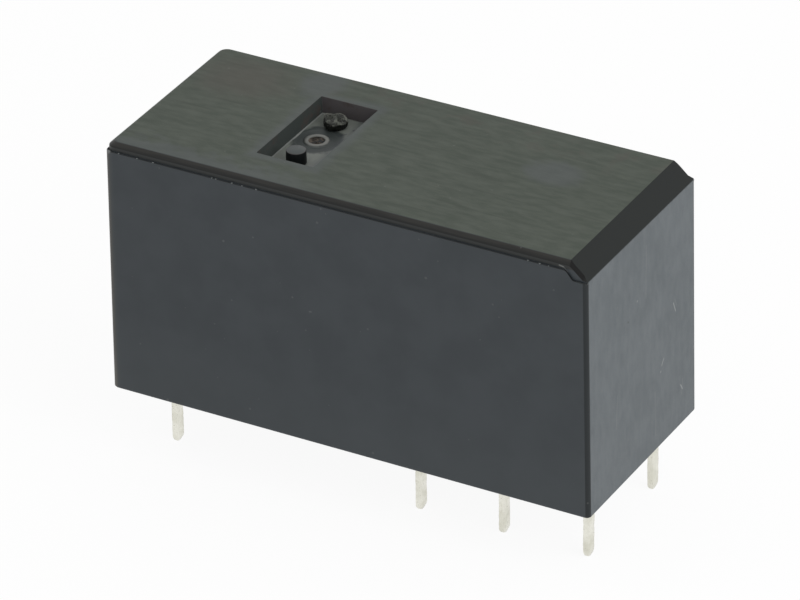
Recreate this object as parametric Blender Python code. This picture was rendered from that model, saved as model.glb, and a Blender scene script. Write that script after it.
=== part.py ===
"""PCB power relay with two changeover contacts, in a sealed low-profile case.

Sizes are in millimetres, and solid() turns them into metres. +X points to the contact end,
-Y to the front and +Z up. The origin is the middle of the face that seats on the board.
A moving piece has its origin on its pivot. The relay is at rest: the coil has no current.
"""

import math

import bmesh
import bpy
from mathutils import Matrix, Vector

MM = 0.001

# Case: walls, draft and the shape of its top
CASE_WALL = 0.8
SKIRT_WALL = 0.6
ROOF = 0.8
END_DRAFT = 0.15
SIDE_DRAFT = 0.05
CORNER_RADIUS = 0.3
RIM_ROUND = 0.12
STAND_OFF = 0.35
LIP_DROP = 0.45
LIP_INSET = 0.12
LID_CORNER_RADIUS = 0.45
LID_FAR_CORNER_RADIUS = 0.05
LIP_FOOT_DROP = 0.97
LIP_CURVE_RUN = 0.95
LIP_CURVE_FROM_END = 0.6
TOP_BEVEL_RUN = 0.16
TOP_BEVEL_DROP = 0.28
CHAMFER_RUN = 0.95
CHAMFER_DROP = 0.9

# Recess in the roof, with its post, its moulding gate and its melted vent
RECESS_FROM_END = 7.82
RECESS_LENGTH = 3.4
RECESS_WIDTH = 7.0
RECESS_DEPTH = 0.95
RECESS_FLOOR = 0.7
RECESS_DRAFT = 0.05
POST_OFFSET = 0.2
POST_DIAMETER = 1.1
POST_HEIGHT = 0.75
POST_FROM_MIDDLE = 1.94
GATE_OFFSET = 0.4
GATE_FROM_MIDDLE = 0.61
GATE_DISH_DIAMETER = 2.54
GATE_DISH_DEPTH = 0.14
GATE_RING_DIAMETER = 1.43
GATE_RING_FOOT_DIAMETER = 1.7
GATE_RING_BORE = 0.92
GATE_RING_HEIGHT = 0.22
VENT_OFFSET = 0.24
VENT_FROM_MIDDLE = 2.35
VENT_DIAMETER = 1.4
VENT_HEIGHT = 0.69
VENT_RIPPLE = 0.045
VENT_SPUR = 0.3
VENT_SPUR_ANGLE = 2.9
VENT_SPUR_SPREAD = 0.28

# Terminals and the pin grid
COIL_TO_CONTACT_PITCH = 15.0
CONTACT_PITCH = 5.0
ROW_SPACING = 7.5
PIN_THICKNESS = 0.35
PIN_WIDTH = 0.7
PIN_LENGTH = 3.5
PIN_TAPER = 0.35
PIN_TIP_WIDTH = 0.28
PIN_TIP_ROUND = 0.12
PIN_TIP_SHOULDER_WIDTH = 0.52
PIN_TO_END_WALL = 0.325
BLADE_WIDTH = 3.2
BLADE_OFFSET = 0.8
BLADE_OVER_CONTACT = 1.4
SHOULDER = 0.4
BEND_RADIUS = 0.35
COIL_POST_WIDTH = 0.35
COIL_POST_RISE = 0.9
LEAD_UP_POST = 0.54

# Height of each layer, from the board up
RESIN_RECESS = 0.1
RESIN_THICKNESS = 0.4
BASE_PLATE = 1.3
YOKE_THICKNESS = 1.2
COIL_DIAMETER = 8.4
COIL_TO_YOKE = 0.2
FLANGE_RISE = 0.2
CARD_THICKNESS = 0.8
CARD_HEADROOM = 0.55
SEAT_WIDTH = 5.2
SEAT_END_MARGIN = 1.0

# Magnet
CORE_DIAMETER = 3.4
POLE_DIAMETER = 5.2
POLE_THICKNESS = 0.55
POLE_TO_COIL_PIN = 0.4
BOBBIN_TUBE = 0.5
FLANGE_THICKNESS = 0.7
FLANGE_WIDTH = 9.2
COIL_SHOULDER = 0.3
YOKE_WIDTH = 8.2
YOKE_NECK_WIDTH = 5.9
YOKE_BEND_RADIUS = 0.8
YOKE_BELOW_FLANGE_TOP = 1.3
STAKE_HEIGHT = 0.2
STAKE_DIAMETER = 4.0
EAR_WIDTH = 1.25
EAR_RISE = 3.3
EAR_BEYOND_PIN = 0.7
WIRE_DIAMETER = 0.16
NOTCH_HEIGHT = 0.4
SOLDER_DIAMETER = 1.04

# Armature and its leaf spring
ARMATURE_THICKNESS = 0.85
ARMATURE_WIDTH = 5.9
ARMATURE_OVER_POLE = 0.8
TONGUE_THICKNESS = 0.5
TONGUE_WIDTH = 2.4
TONGUE_OVER_CARD = 0.4
LEAF_THICKNESS = 0.1
LEAF_WIDTH = 3.0
LEAF_LENGTH = 4.2
LEAF_REACH = 2.6
LEAF_BEND_RADIUS = 0.25
LEAF_TIP_WIDTH = 2.1

# Contacts and their springs
CONTACT_RISE = 7.3
CONTACT_TRAVEL = 0.45
CONTACT_DIAMETER = 1.8
CONTACT_HEAD = 0.4
CONTACT_DOME = 0.15
FIXED_CONTACT_DIAMETER = 2.0
TAIL_DIAMETER = 1.4
TAIL_THICKNESS = 0.2
TAIL_TIP_DIAMETER = 0.98
SHANK_DIAMETER = 0.8
SPRING_THICKNESS = 0.15
SPRING_WIDTH = 2.6
SPRING_FOOT_WIDTH = 3.0
SPRING_PIVOT_RISE = 2.0
SPRING_FOOT = 0.9
RIVET_BELOW_PIVOT = 0.45
RIVET_HEAD_DIAMETER = 1.6
RIVET_HEAD_TIP_DIAMETER = 0.96
RIVET_HEAD_THICKNESS = 0.3
RIVET_HEAD_EDGE = 0.1
BARRIER_THICKNESS = 0.8
BARRIER_TO_PIN = 1.15
BARRIER_BELOW_CARD = 0.3
BARRIER_TO_SIDE = 0.15
POLE_WALL = 0.7
POLE_WALL_TO_END = 0.9

# Card that carries the armature's motion to the springs
CARD_WIDTH = 4.0
CARD_ARM_WIDTH = 8.6
CARD_ARM_LENGTH = 2.6
CARD_END_BAR = 0.35
CARD_PLAY = 0.05
SPRING_TONGUE_WIDTH = 1.3
SPRING_OVER_CARD = 0.45
GUIDE_THICKNESS = 0.6

# Clearances
FIT = 0.05
HOLE_CLEARANCE = 0.1
CONTACT_CLEARANCE = 0.03
TONGUE_CLEARANCE = 0.08
SLOT_BEHIND_SPRING = 0.12
SLOT_BEFORE_SPRING = 0.3
CARD_END_CLEARANCE = 0.18
GUIDE_CLEARANCE = 0.1
SIDE_CLEARANCE = 1.025
STAKE_CLEARANCE = 0.2
SPRING_FOOT_CLEARANCE = 0.1
FLUSH = 0.02

ROUND_STEPS = 24
CORNER_STEPS = 3
BEND_STEPS = 4
CURVE_STEPS = 8
DOME_STEPS = 4
BEYOND = 2.0

# Outlines of lumps, as shares of their radius and height from the foot up
VENT_OUTLINE = ((0.72, 0.15), (1.0, 0.35), (1.0, 0.6), (0.8, 0.85), (0.4, 1.0))
SOLDER_OUTLINE = ((0.8, 0.0), (1.0, 0.3), (0.85, 0.65), (0.45, 0.93))

# Heights worked out from the layers
rim_z = STAND_OFF
resin_bottom = rim_z + RESIN_RECESS
resin_top = resin_bottom + RESIN_THICKNESS
plate_bottom = resin_top + FIT
plate_top = plate_bottom + BASE_PLATE
leaf_bottom = plate_top + FIT
leaf_top = leaf_bottom + LEAF_THICKNESS
yoke_bottom = leaf_top + FIT
yoke_leg_top = yoke_bottom + YOKE_THICKNESS
coil_z = yoke_leg_top + COIL_TO_YOKE + COIL_DIAMETER / 2
flange_bottom = yoke_leg_top + COIL_TO_YOKE / 2
flange_top = coil_z + COIL_DIAMETER / 2 + FLANGE_RISE
card_bottom = flange_top + GUIDE_CLEARANCE
card_top = card_bottom + CARD_THICKNESS
card_z = (card_bottom + card_top) / 2
recess_underside = card_top + CARD_HEADROOM
recess_floor_z = recess_underside + RECESS_FLOOR
top_z = recess_floor_z + RECESS_DEPTH
contact_z = plate_top + CONTACT_RISE
spring_pivot_z = plate_top + SPRING_PIVOT_RISE
ear_top = plate_top + EAR_RISE
coil_post_top = ear_top + COIL_POST_RISE
wire_z = ear_top + LEAD_UP_POST

# Travel of the springs, the card and the armature, which move together
spring_angle = CONTACT_TRAVEL / (contact_z - spring_pivot_z)
card_travel = spring_angle * (card_z - spring_pivot_z) + CARD_PLAY
armature_pivot_z = yoke_bottom + 2 * FIT
armature_angle = card_travel / (card_z - armature_pivot_z)

# Places along the case, first measured from its coil end at the rim
slot_half = TONGUE_THICKNESS / 2 + TONGUE_CLEARANCE
tongue_from_end = END_DRAFT + CASE_WALL + CARD_END_CLEARANCE + CARD_END_BAR + slot_half
pole_from_end = tongue_from_end + card_travel + TONGUE_THICKNESS / 2 + FIT
coil_pin_from_end = pole_from_end - POLE_TO_COIL_PIN
nc_pin_from_end = coil_pin_from_end + COIL_TO_CONTACT_PITCH
common_from_end = nc_pin_from_end + CONTACT_PITCH
no_pin_from_end = common_from_end + CONTACT_PITCH
case_length = no_pin_from_end + PIN_THICKNESS / 2 + PIN_TO_END_WALL + CASE_WALL
case_end = case_length / 2
pin_y = ROW_SPACING / 2
contact_y = pin_y - BLADE_OFFSET
case_side = pin_y + EAR_WIDTH / 2 + SIDE_CLEARANCE + CASE_WALL + SIDE_DRAFT

tongue_x = tongue_from_end - case_end
pole_x = pole_from_end - case_end
coil_pin_x = coil_pin_from_end - case_end
nc_pin_x = nc_pin_from_end - case_end
common_x = common_from_end - case_end
no_pin_x = no_pin_from_end - case_end
recess_x = RECESS_FROM_END + RECESS_LENGTH / 2 - case_end
armature_face_x = pole_x - FIT
barrier_x = nc_pin_x - BARRIER_TO_PIN - BARRIER_THICKNESS
yoke_far_x = barrier_x - STAKE_CLEARANCE - STAKE_HEIGHT - FIT
yoke_near_x = yoke_far_x - YOKE_THICKNESS
flange_near_x = pole_x + POLE_THICKNESS + FIT
flange_far_x = yoke_near_x - GUIDE_CLEARANCE
winding_near_x = flange_near_x + FLANGE_THICKNESS + FIT
winding_far_x = flange_far_x - FLANGE_THICKNESS - FIT
neck_end_x = flange_near_x + SHOULDER + FIT
spring_x = common_x + (PIN_THICKNESS + SPRING_THICKNESS) / 2 + SPRING_FOOT_CLEARANCE
moving_face = SPRING_THICKNESS / 2 + FIT + CONTACT_HEAD
nc_face_x = spring_x - moving_face - CONTACT_CLEARANCE
no_face_x = spring_x + moving_face + CONTACT_TRAVEL + CONTACT_CLEARANCE
blade_behind_face = CONTACT_HEAD + FIT + PIN_THICKNESS / 2
nc_blade_x = nc_face_x - blade_behind_face
no_blade_x = no_face_x + blade_behind_face

ROWS = (("front", -1), ("rear", 1))


def look(name, colour, roughness, metallic=0.0):
    made = bpy.data.materials.new(name)
    made.use_nodes = True
    shader = made.node_tree.nodes["Principled BSDF"]
    shader.inputs["Base Color"].default_value = (*colour, 1.0)
    shader.inputs["Roughness"].default_value = roughness
    shader.inputs["Metallic"].default_value = metallic
    made.diffuse_color = (*colour, 1.0)
    return made


def solid(name, shape, finish, pivot=(0.0, 0.0, 0.0), lean=0.0):
    """An object in metres from a shape in millimetres, with its origin at pivot, leaning about Y."""
    bmesh.ops.recalc_face_normals(shape, faces=shape.faces)
    bmesh.ops.translate(shape, verts=shape.verts, vec=-Vector(pivot))
    bmesh.ops.scale(shape, verts=shape.verts, vec=(MM, MM, MM))
    mesh = bpy.data.meshes.new(name)
    shape.to_mesh(mesh)
    shape.free()
    mesh.materials.append(finish)
    mesh.shade_smooth()
    mesh.set_sharp_from_angle(angle=math.radians(30))
    obj = bpy.data.objects.new(name, mesh)
    obj.location = Vector(pivot) * MM
    obj.rotation_euler = (0.0, lean, 0.0)
    bpy.context.scene.collection.objects.link(obj)
    return obj


def boolean(obj, shape, operation, label):
    """Joins shape to obj or cuts it away, with a modifier and a helper that doesn't render."""
    pivot = obj.location / MM
    helper = solid(f"{obj.name}_{label}", shape, obj.data.materials[0], pivot)
    helper.rotation_euler = obj.rotation_euler
    helper.hide_render = True
    helper.display_type = "WIRE"
    change = obj.modifiers.new(label, "BOOLEAN")
    change.operation = operation
    change.object = helper


def cut(obj, shape, label):
    boolean(obj, shape, "DIFFERENCE", label)


def join(obj, shape, label):
    boolean(obj, shape, "UNION", label)


def loft(rings):
    """A closed shape through rings of points, each with as many points as the next."""
    shape = bmesh.new()
    loops = [[shape.verts.new(point) for point in ring] for ring in rings]
    for low, high in zip(loops, loops[1:]):
        for i in range(len(low)):
            j = (i + 1) % len(low)
            shape.faces.new((low[i], low[j], high[j], high[i]))
    shape.faces.new(loops[0])
    shape.faces.new(loops[-1])
    return shape


def rectangle(x_low, x_high, y_low, y_high, z):
    return [(x_low, y_low, z), (x_high, y_low, z), (x_high, y_high, z), (x_low, y_high, z)]


def rounded(x_low, x_high, y_low, y_high, radius, z, far_radius=None):
    """The same rectangle with its corners turned to arcs. far_radius is for the two at x_high."""
    far = far_radius or radius
    arcs = (
        (x_high - far, y_high - far, far), (x_low + radius, y_high - radius, radius),
        (x_low + radius, y_low + radius, radius), (x_high - far, y_low + far, far),
    )
    points = []
    for quarter, (x, y, reach) in enumerate(arcs):
        for step in range(CORNER_STEPS + 1):
            angle = math.pi / 2 * (quarter + step / CORNER_STEPS)
            points.append((x + reach * math.cos(angle), y + reach * math.sin(angle), z))
    return points


def block(x_low, x_high, y_low, y_high, z_low, z_high):
    return loft([rectangle(x_low, x_high, y_low, y_high, z) for z in (z_low, z_high)])


def side_profile(outline, y_low, y_high):
    """A prism along Y from an outline of (x, z) points."""
    return loft([[(x, y, z) for x, z in outline] for y in (y_low, y_high)])


def plan_profile(outline, z_low, z_high):
    """A prism along Z from an outline of (x, y) points."""
    return loft([[(x, y, z) for x, y in outline] for z in (z_low, z_high)])


def turned(profile, centre, axis="Z", hollow=False, lumps=None):
    """A turned shape from (radius, distance along the axis) points. A hollow one is a ring."""
    shape = bmesh.new()
    loops = []
    for radius, along in profile:
        if radius == 0:
            loops.append([shape.verts.new((0.0, 0.0, along))])
            continue
        ring = []
        for step in range(ROUND_STEPS):
            angle = 2 * math.pi * step / ROUND_STEPS
            reach = radius * (lumps(angle) if lumps else 1.0)
            ring.append(shape.verts.new((reach * math.cos(angle), reach * math.sin(angle), along)))
        loops.append(ring)
    if hollow:
        loops.append(loops[0])
    for low, high in zip(loops, loops[1:]):
        for i in range(ROUND_STEPS):
            j = (i + 1) % ROUND_STEPS
            around = (low[i % len(low)], low[j % len(low)], high[j % len(high)], high[i % len(high)])
            shape.faces.new(tuple(dict.fromkeys(around)))
    if axis == "X":
        turn = Matrix.Rotation(math.pi / 2, 3, "Y")
        bmesh.ops.rotate(shape, verts=shape.verts, cent=(0, 0, 0), matrix=turn)
    bmesh.ops.translate(shape, verts=shape.verts, vec=centre)
    return shape


def rod(diameter, start, end, centre, axis="X"):
    radius = diameter / 2
    return turned([(0, start), (radius, start), (radius, end), (0, end)], centre, axis)


def bent_path(corners, radius):
    """Stations (distance, x, z, heading) along straight runs of (x, z) with bends between them."""
    points = [Vector(corner) for corner in corners]
    heading = points[1] - points[0]
    stations = [(0.0, points[0], math.atan2(heading.y, heading.x))]
    for before, corner, after in zip(points, points[1:], points[2:]):
        into, out = (corner - before).normalized(), (after - corner).normalized()
        start_angle = math.atan2(into.y, into.x)
        turn = math.remainder(math.atan2(out.y, out.x) - start_angle, 2 * math.pi)
        setback = radius * math.tan(abs(turn) / 2)
        begin = corner - into * setback
        side = math.copysign(1.0, turn)
        middle = begin + Vector((-into.y, into.x)) * side * radius
        distance = stations[-1][0] + (begin - stations[-1][1]).length
        for step in range(BEND_STEPS + 1):
            share = step / BEND_STEPS
            angle = start_angle + turn * share
            spoke = Vector((math.sin(angle), -math.cos(angle))) * side * radius
            stations.append((distance + radius * abs(turn) * share, middle + spoke, angle))
    last = stations[-1]
    stations.append((last[0] + (points[-1] - last[1]).length, points[-1], last[2]))
    return stations


def formed_strip(corners, radius, thickness, widths):
    """Sheet metal bent along (x, z) corners. widths are (distance along, y of middle, width)."""
    stations = bent_path(corners, radius)
    length = stations[-1][0]
    for distance, _, _ in widths:
        distance = distance % length if distance < 0 else distance
        if any(abs(distance - station[0]) < 1e-6 for station in stations):
            continue
        index = next(i for i, station in enumerate(stations) if station[0] > distance)
        before, after = stations[index - 1], stations[index]
        share = (distance - before[0]) / (after[0] - before[0])
        stations.insert(index, (distance, before[1].lerp(after[1], share), before[2]))
    rings = []
    for distance, point, heading in stations:
        middle, width = width_at(widths, distance, length)
        out = Vector((-math.sin(heading), math.cos(heading))) * thickness / 2
        ring = []
        for side, y in ((1, middle - width / 2), (1, middle + width / 2),
                        (-1, middle + width / 2), (-1, middle - width / 2)):
            place = point + out * side
            ring.append((place.x, y, place.y))
        rings.append(ring)
    return loft(rings)


def width_at(widths, distance, length):
    """The middle and width of a strip at a distance. A distance under 0 counts from the far end."""
    marks = [(d % length if d < 0 else d, y, w) for d, y, w in widths]
    for before, after in zip(marks, marks[1:]):
        if before[0] - 1e-6 <= distance <= after[0] + 1e-6:
            share = (distance - before[0]) / (after[0] - before[0])
            return tuple(b + (a - b) * share for b, a in zip(before[1:], after[1:]))
    return marks[-1][1:] if distance > marks[-1][0] else marks[0][1:]


def dome(radius, edge, height):
    """Profile points of a shallow dome, from its edge to its middle."""
    ball = (radius ** 2 + height ** 2) / (2 * height)
    points = []
    for step in range(DOME_STEPS + 1):
        reach = radius * (1 - step / DOME_STEPS)
        points.append((reach, edge + math.sqrt(ball ** 2 - reach ** 2) - (ball - height)))
    return points


def case_ring(z, inset=0.0):
    """The case's outline at a height, with its draft."""
    rise = (z - rim_z) / (top_z - rim_z)
    x, y = case_end - END_DRAFT * rise - inset, case_side - SIDE_DRAFT * rise - inset
    return rounded(-x, x, -y, y, CORNER_RADIUS, z)


def lid_ring(z, near_inset, side_inset):
    """The lid's outline at a height: set in at its sides, and flush at the contact end."""
    rise = (z - rim_z) / (top_z - rim_z)
    x, y = case_end - END_DRAFT * rise, case_side - SIDE_DRAFT * rise - side_inset
    return rounded(near_inset - x, x - FLUSH, -y, y, LID_CORNER_RADIUS, z, LID_FAR_CORNER_RADIUS)


def lip_line():
    """The top edge of the side panels: level, then an S down beside the end chamfer."""
    foot_x = case_end - END_DRAFT - LIP_CURVE_FROM_END
    line = [(-case_end - BEYOND, top_z - LIP_DROP)]
    for step in range(CURVE_STEPS + 1):
        share = step / CURVE_STEPS
        fall = (1 - math.cos(math.pi * share)) / 2
        drop = LIP_DROP + (LIP_FOOT_DROP - LIP_DROP) * fall
        line.append((foot_x - LIP_CURVE_RUN * (1 - share), top_z - drop))
    line.append((case_end + BEYOND, top_z - LIP_FOOT_DROP))
    return line


def lump_profile(outline, radius, foot_z, height):
    """The profile of a lump that closes at its top, from shares of its radius and height."""
    profile = [(radius * across, foot_z + height * up) for across, up in outline]
    return profile + [(0, foot_z + height)]


def vent_lumps(angle):
    """How far the melted vent's edge strays from a circle, with a spur towards the coil end."""
    from_spur = math.remainder(angle - VENT_SPUR_ANGLE, 2 * math.pi)
    spur = VENT_SPUR * math.exp(-((from_spur / VENT_SPUR_SPREAD) ** 2))
    return 1 + VENT_RIPPLE * math.sin(3 * angle) + VENT_RIPPLE * math.sin(5 * angle) + spur


def make_case(finish):
    case = solid("case", loft([
        case_ring(rim_z, RIM_ROUND), case_ring(rim_z + RIM_ROUND), case_ring(top_z),
    ]), finish)
    line = lip_line()
    above = [(line[-1][0], top_z + BEYOND), (line[0][0], top_z + BEYOND)]
    cut(case, side_profile(line + above, -case_side - BEYOND, case_side + BEYOND), "lip")
    join(case, loft([
        lid_ring(top_z - 2 * RECESS_DEPTH, FLUSH, LIP_INSET),
        lid_ring(top_z - TOP_BEVEL_DROP, FLUSH, LIP_INSET),
        lid_ring(top_z, FLUSH + TOP_BEVEL_RUN, LIP_INSET + TOP_BEVEL_RUN),
    ]), "lid")
    edge = Vector((case_end - END_DRAFT - CHAMFER_RUN, top_z))
    slope = Vector((CHAMFER_RUN, -CHAMFER_DROP)).normalized() * BEYOND
    wedge = [edge - slope, edge + slope, edge + Vector((BEYOND, BEYOND))]
    cut(case, side_profile([tuple(p) for p in wedge], -case_side, case_side), "chamfer")
    x, y = case_end - SKIRT_WALL, case_side - SKIRT_WALL
    skirt = [rounded(-x, x, -y, y, CORNER_RADIUS, z) for z in (-BEYOND, leaf_bottom)]
    inside = [case_ring(z, CASE_WALL) for z in (leaf_bottom, top_z - ROOF)]
    cut(case, loft(skirt + inside), "cavity")
    half_length, half_width = RECESS_LENGTH / 2, RECESS_WIDTH / 2
    join(case, block(
        recess_x - half_length - CASE_WALL, recess_x + half_length + CASE_WALL,
        -half_width - CASE_WALL, half_width + CASE_WALL, recess_underside, top_z - ROOF / 2,
    ), "recess_walls")
    recess = []
    for z, inset in ((recess_floor_z, RECESS_DRAFT), (top_z, 0.0), (top_z + BEYOND, 0.0)):
        x, y = half_length - inset, half_width - inset
        recess.append(rectangle(recess_x - x, recess_x + x, -y, y, z))
    cut(case, loft(recess), "recess")
    sunk = recess_floor_z - RECESS_FLOOR / 2
    post_place = (recess_x - POST_OFFSET, -POST_FROM_MIDDLE, 0)
    join(case, rod(POST_DIAMETER, sunk, recess_floor_z + POST_HEIGHT, post_place, "Z"), "post")
    vent = lump_profile(VENT_OUTLINE, VENT_DIAMETER / 2, recess_floor_z, VENT_HEIGHT)
    vent_foot = [(0, sunk), (vent[0][0], sunk)]
    vent_place = (recess_x - VENT_OFFSET, VENT_FROM_MIDDLE, 0)
    join(case, turned(vent_foot + vent, vent_place, lumps=vent_lumps), "vent")
    dish_z, over_floor = recess_floor_z - GATE_DISH_DEPTH, recess_floor_z + FIT
    dish_radius = GATE_DISH_DIAMETER / 2
    gate_place = (recess_x - GATE_OFFSET, GATE_FROM_MIDDLE, 0)
    cut(case, turned([
        (0, dish_z), (dish_radius - GATE_DISH_DEPTH, dish_z),
        (dish_radius + FIT, over_floor), (0, over_floor),
    ], gate_place), "gate_dish")
    ring_top, ring_edge = dish_z + GATE_RING_HEIGHT, dish_z + GATE_RING_HEIGHT * 3 / 4
    outer, bore, foot = GATE_RING_DIAMETER / 2, GATE_RING_BORE / 2, GATE_RING_FOOT_DIAMETER / 2
    join(case, turned([
        (bore, sunk), (foot, sunk), (foot, dish_z), (outer, ring_edge),
        ((outer + bore) / 2, ring_top), (bore, ring_edge),
    ], gate_place, hollow=True), "gate_ring")


def pin_places():
    return [(x, side * pin_y) for x in (coil_pin_x, nc_pin_x, common_x, no_pin_x) for _, side in ROWS]


def pin_slot(x, y, z_low, z_high):
    half_x, half_y = PIN_THICKNESS / 2 + FIT, PIN_WIDTH / 2 + FIT
    return block(x - half_x, x + half_x, y - half_y, y + half_y, z_low, z_high)


def make_base(finish):
    x, y = case_end - SKIRT_WALL - FIT, case_side - SKIRT_WALL - FIT
    plate = [rounded(-x, x, -y, y, CORNER_RADIUS, z) for z in (plate_bottom, plate_top)]
    base = solid("base", loft(plate), finish)
    inside = plate_bottom + BASE_PLATE / 2
    seat_x, seat_y = x - SEAT_END_MARGIN, SEAT_WIDTH / 2
    join(base, block(-seat_x, seat_x, -seat_y, seat_y, 0, inside), "seat")
    barrier_y = case_side - SIDE_DRAFT - CASE_WALL - BARRIER_TO_SIDE
    wall_top = card_bottom - BARRIER_BELOW_CARD
    barrier_far_x = barrier_x + BARRIER_THICKNESS
    join(base, block(barrier_x, barrier_far_x, -barrier_y, barrier_y, inside, wall_top), "barrier")
    wall_end = case_end - END_DRAFT - CASE_WALL - POLE_WALL_TO_END
    join(base, block(
        barrier_far_x - BARRIER_THICKNESS / 2, wall_end, -POLE_WALL / 2, POLE_WALL / 2,
        inside - FIT, wall_top - FIT,
    ), "pole_wall")
    for number, (pin_x, side_y) in enumerate(pin_places(), 1):
        cut(base, pin_slot(pin_x, side_y, -BEYOND, plate_top + FIT), f"slot_{number}")


def make_resin(finish):
    x, y = case_end - SKIRT_WALL - FIT, case_side - SKIRT_WALL - FIT
    layer = [rounded(-x, x, -y, y, CORNER_RADIUS, z) for z in (resin_bottom, resin_top)]
    resin = solid("sealing_resin", loft(layer), finish)
    seat_x, seat_y = x - SEAT_END_MARGIN + FIT, SEAT_WIDTH / 2 + FIT
    cut(resin, block(-seat_x, seat_x, -seat_y, seat_y, -BEYOND, plate_top), "seat")
    for number, (pin_x, side_y) in enumerate(pin_places(), 1):
        cut(resin, pin_slot(pin_x, side_y, -BEYOND, plate_top), f"slot_{number}")


def make_bobbin(finish):
    tube = CORE_DIAMETER + 2 * FIT + 2 * BOBBIN_TUBE
    along_coil = (0, 0, coil_z)
    bobbin = solid("bobbin", rod(tube, flange_near_x + FIT, flange_far_x - FIT, along_coil), finish)
    half = FLANGE_WIDTH / 2
    guide_y = CARD_WIDTH / 2 + GUIDE_CLEARANCE
    flanges = (("near_flange", flange_near_x), ("far_flange", flange_far_x - FLANGE_THICKNESS))
    for label, near in flanges:
        join(bobbin, block(near, near + FLANGE_THICKNESS, -half, half, flange_bottom, flange_top), label)
        for side_name, side in ROWS:
            low, high = sorted((side * guide_y, side * (guide_y + GUIDE_THICKNESS)))
            join(bobbin, block(
                near + FIT, near + FLANGE_THICKNESS - FIT, low, high,
                flange_top - FLANGE_RISE, card_top - GUIDE_CLEARANCE,
            ), f"{label}_guide_{side_name}")
    for side_name, side in ROWS:
        y = side * pin_y
        join(bobbin, block(
            coil_pin_x - EAR_BEYOND_PIN, flange_near_x + SHOULDER,
            y - EAR_WIDTH / 2, y + EAR_WIDTH / 2, plate_top + FIT, ear_top,
        ), f"ear_{side_name}")
        cut(bobbin, pin_slot(coil_pin_x, y, 0, top_z), f"pin_hole_{side_name}")
        notch = sorted((side * (pin_y - EAR_WIDTH / 4), side * (half + BEYOND)))
        cut(bobbin, block(
            coil_pin_x, flange_near_x + FLANGE_THICKNESS + FIT, *notch,
            wire_z - NOTCH_HEIGHT / 2, wire_z + NOTCH_HEIGHT / 2,
        ), f"notch_{side_name}")
    bore = CORE_DIAMETER + 2 * FIT
    cut(bobbin, rod(bore, flange_near_x - BEYOND, flange_far_x + BEYOND, along_coil), "bore")


def make_winding(finish):
    inner = CORE_DIAMETER / 2 + BOBBIN_TUBE + 2 * FIT
    outer = COIL_DIAMETER / 2
    corner = COIL_SHOULDER
    solid("coil_winding", turned([
        (inner, winding_near_x), (outer - corner, winding_near_x),
        (outer - corner / 4, winding_near_x + corner / 2), (outer, winding_near_x + 2 * corner),
        (outer, winding_far_x - 2 * corner), (outer - corner / 4, winding_far_x - corner / 2),
        (outer - corner, winding_far_x), (inner, winding_far_x),
    ], (0, 0, coil_z), "X", hollow=True), finish)


def make_core(finish):
    pole, shaft, stake = POLE_DIAMETER / 2, CORE_DIAMETER / 2, STAKE_DIAMETER / 2
    stake_x = yoke_far_x + FIT
    solid("core", turned([
        (0, pole_x), (pole - FIT, pole_x), (pole, pole_x + FIT), (pole, pole_x + POLE_THICKNESS),
        (shaft, pole_x + POLE_THICKNESS), (shaft, stake_x), (stake, stake_x),
        (shaft, stake_x + STAKE_HEIGHT), (0, stake_x + STAKE_HEIGHT),
    ], (0, 0, coil_z), "X"), finish)


def make_yoke(finish):
    leg_z = yoke_bottom + YOKE_THICKNESS / 2
    upright_x = yoke_near_x + YOKE_THICKNESS / 2
    neck = neck_end_x - pole_x
    yoke = solid("yoke", formed_strip(
        [(pole_x, leg_z), (upright_x, leg_z), (upright_x, flange_top - YOKE_BELOW_FLANGE_TOP)],
        YOKE_BEND_RADIUS, YOKE_THICKNESS,
        [(0, 0, YOKE_NECK_WIDTH), (neck, 0, YOKE_NECK_WIDTH), (neck + SHOULDER, 0, YOKE_WIDTH)],
    ), finish)
    bore = CORE_DIAMETER + 2 * FIT
    cut(yoke, rod(bore, yoke_near_x - BEYOND, yoke_far_x + BEYOND, (0, 0, coil_z)), "core_hole")


def make_armature(finish):
    """Drawn closed on the pole, then leaned open about the end of the yoke."""
    face = armature_face_x
    body, tongue = ARMATURE_WIDTH / 2, TONGUE_WIDTH / 2
    shoulder_z = coil_z + POLE_DIAMETER / 2 + ARMATURE_OVER_POLE
    back, thin = face - ARMATURE_THICKNESS, face - TONGUE_THICKNESS
    solid("armature", loft([
        rectangle(back, face, -body, body, armature_pivot_z),
        rectangle(back, face, -body, body, shoulder_z - SHOULDER),
        rectangle(back, face, -tongue, tongue, shoulder_z),
        rectangle(thin, face, -tongue, tongue, shoulder_z + SHOULDER),
        rectangle(thin, face, -tongue, tongue, card_top + TONGUE_OVER_CARD),
    ]), finish, pivot=(face, 0, armature_pivot_z), lean=-armature_angle)


def make_armature_spring(finish):
    """A leaf fixed under the yoke that turns up behind the open armature and pushes it open."""
    leaf_z = (leaf_bottom + leaf_top) / 2
    behind = ARMATURE_THICKNESS + FIT + LEAF_THICKNESS / 2
    sine, cosine = math.sin(armature_angle), math.cos(armature_angle)

    def along_back(rise):
        x = armature_face_x - behind * cosine - rise * sine
        return x, armature_pivot_z - behind * sine + rise * cosine

    corner_rise = (leaf_z - armature_pivot_z + behind * sine) / cosine
    path = [(pole_x + LEAF_LENGTH, leaf_z), along_back(corner_rise), along_back(LEAF_REACH)]
    solid("armature_spring", formed_strip(
        path, LEAF_BEND_RADIUS, LEAF_THICKNESS,
        [(0, 0, LEAF_WIDTH), (-LEAF_REACH / 2, 0, LEAF_WIDTH), (-FIT, 0, LEAF_TIP_WIDTH)],
    ), finish)


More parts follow.
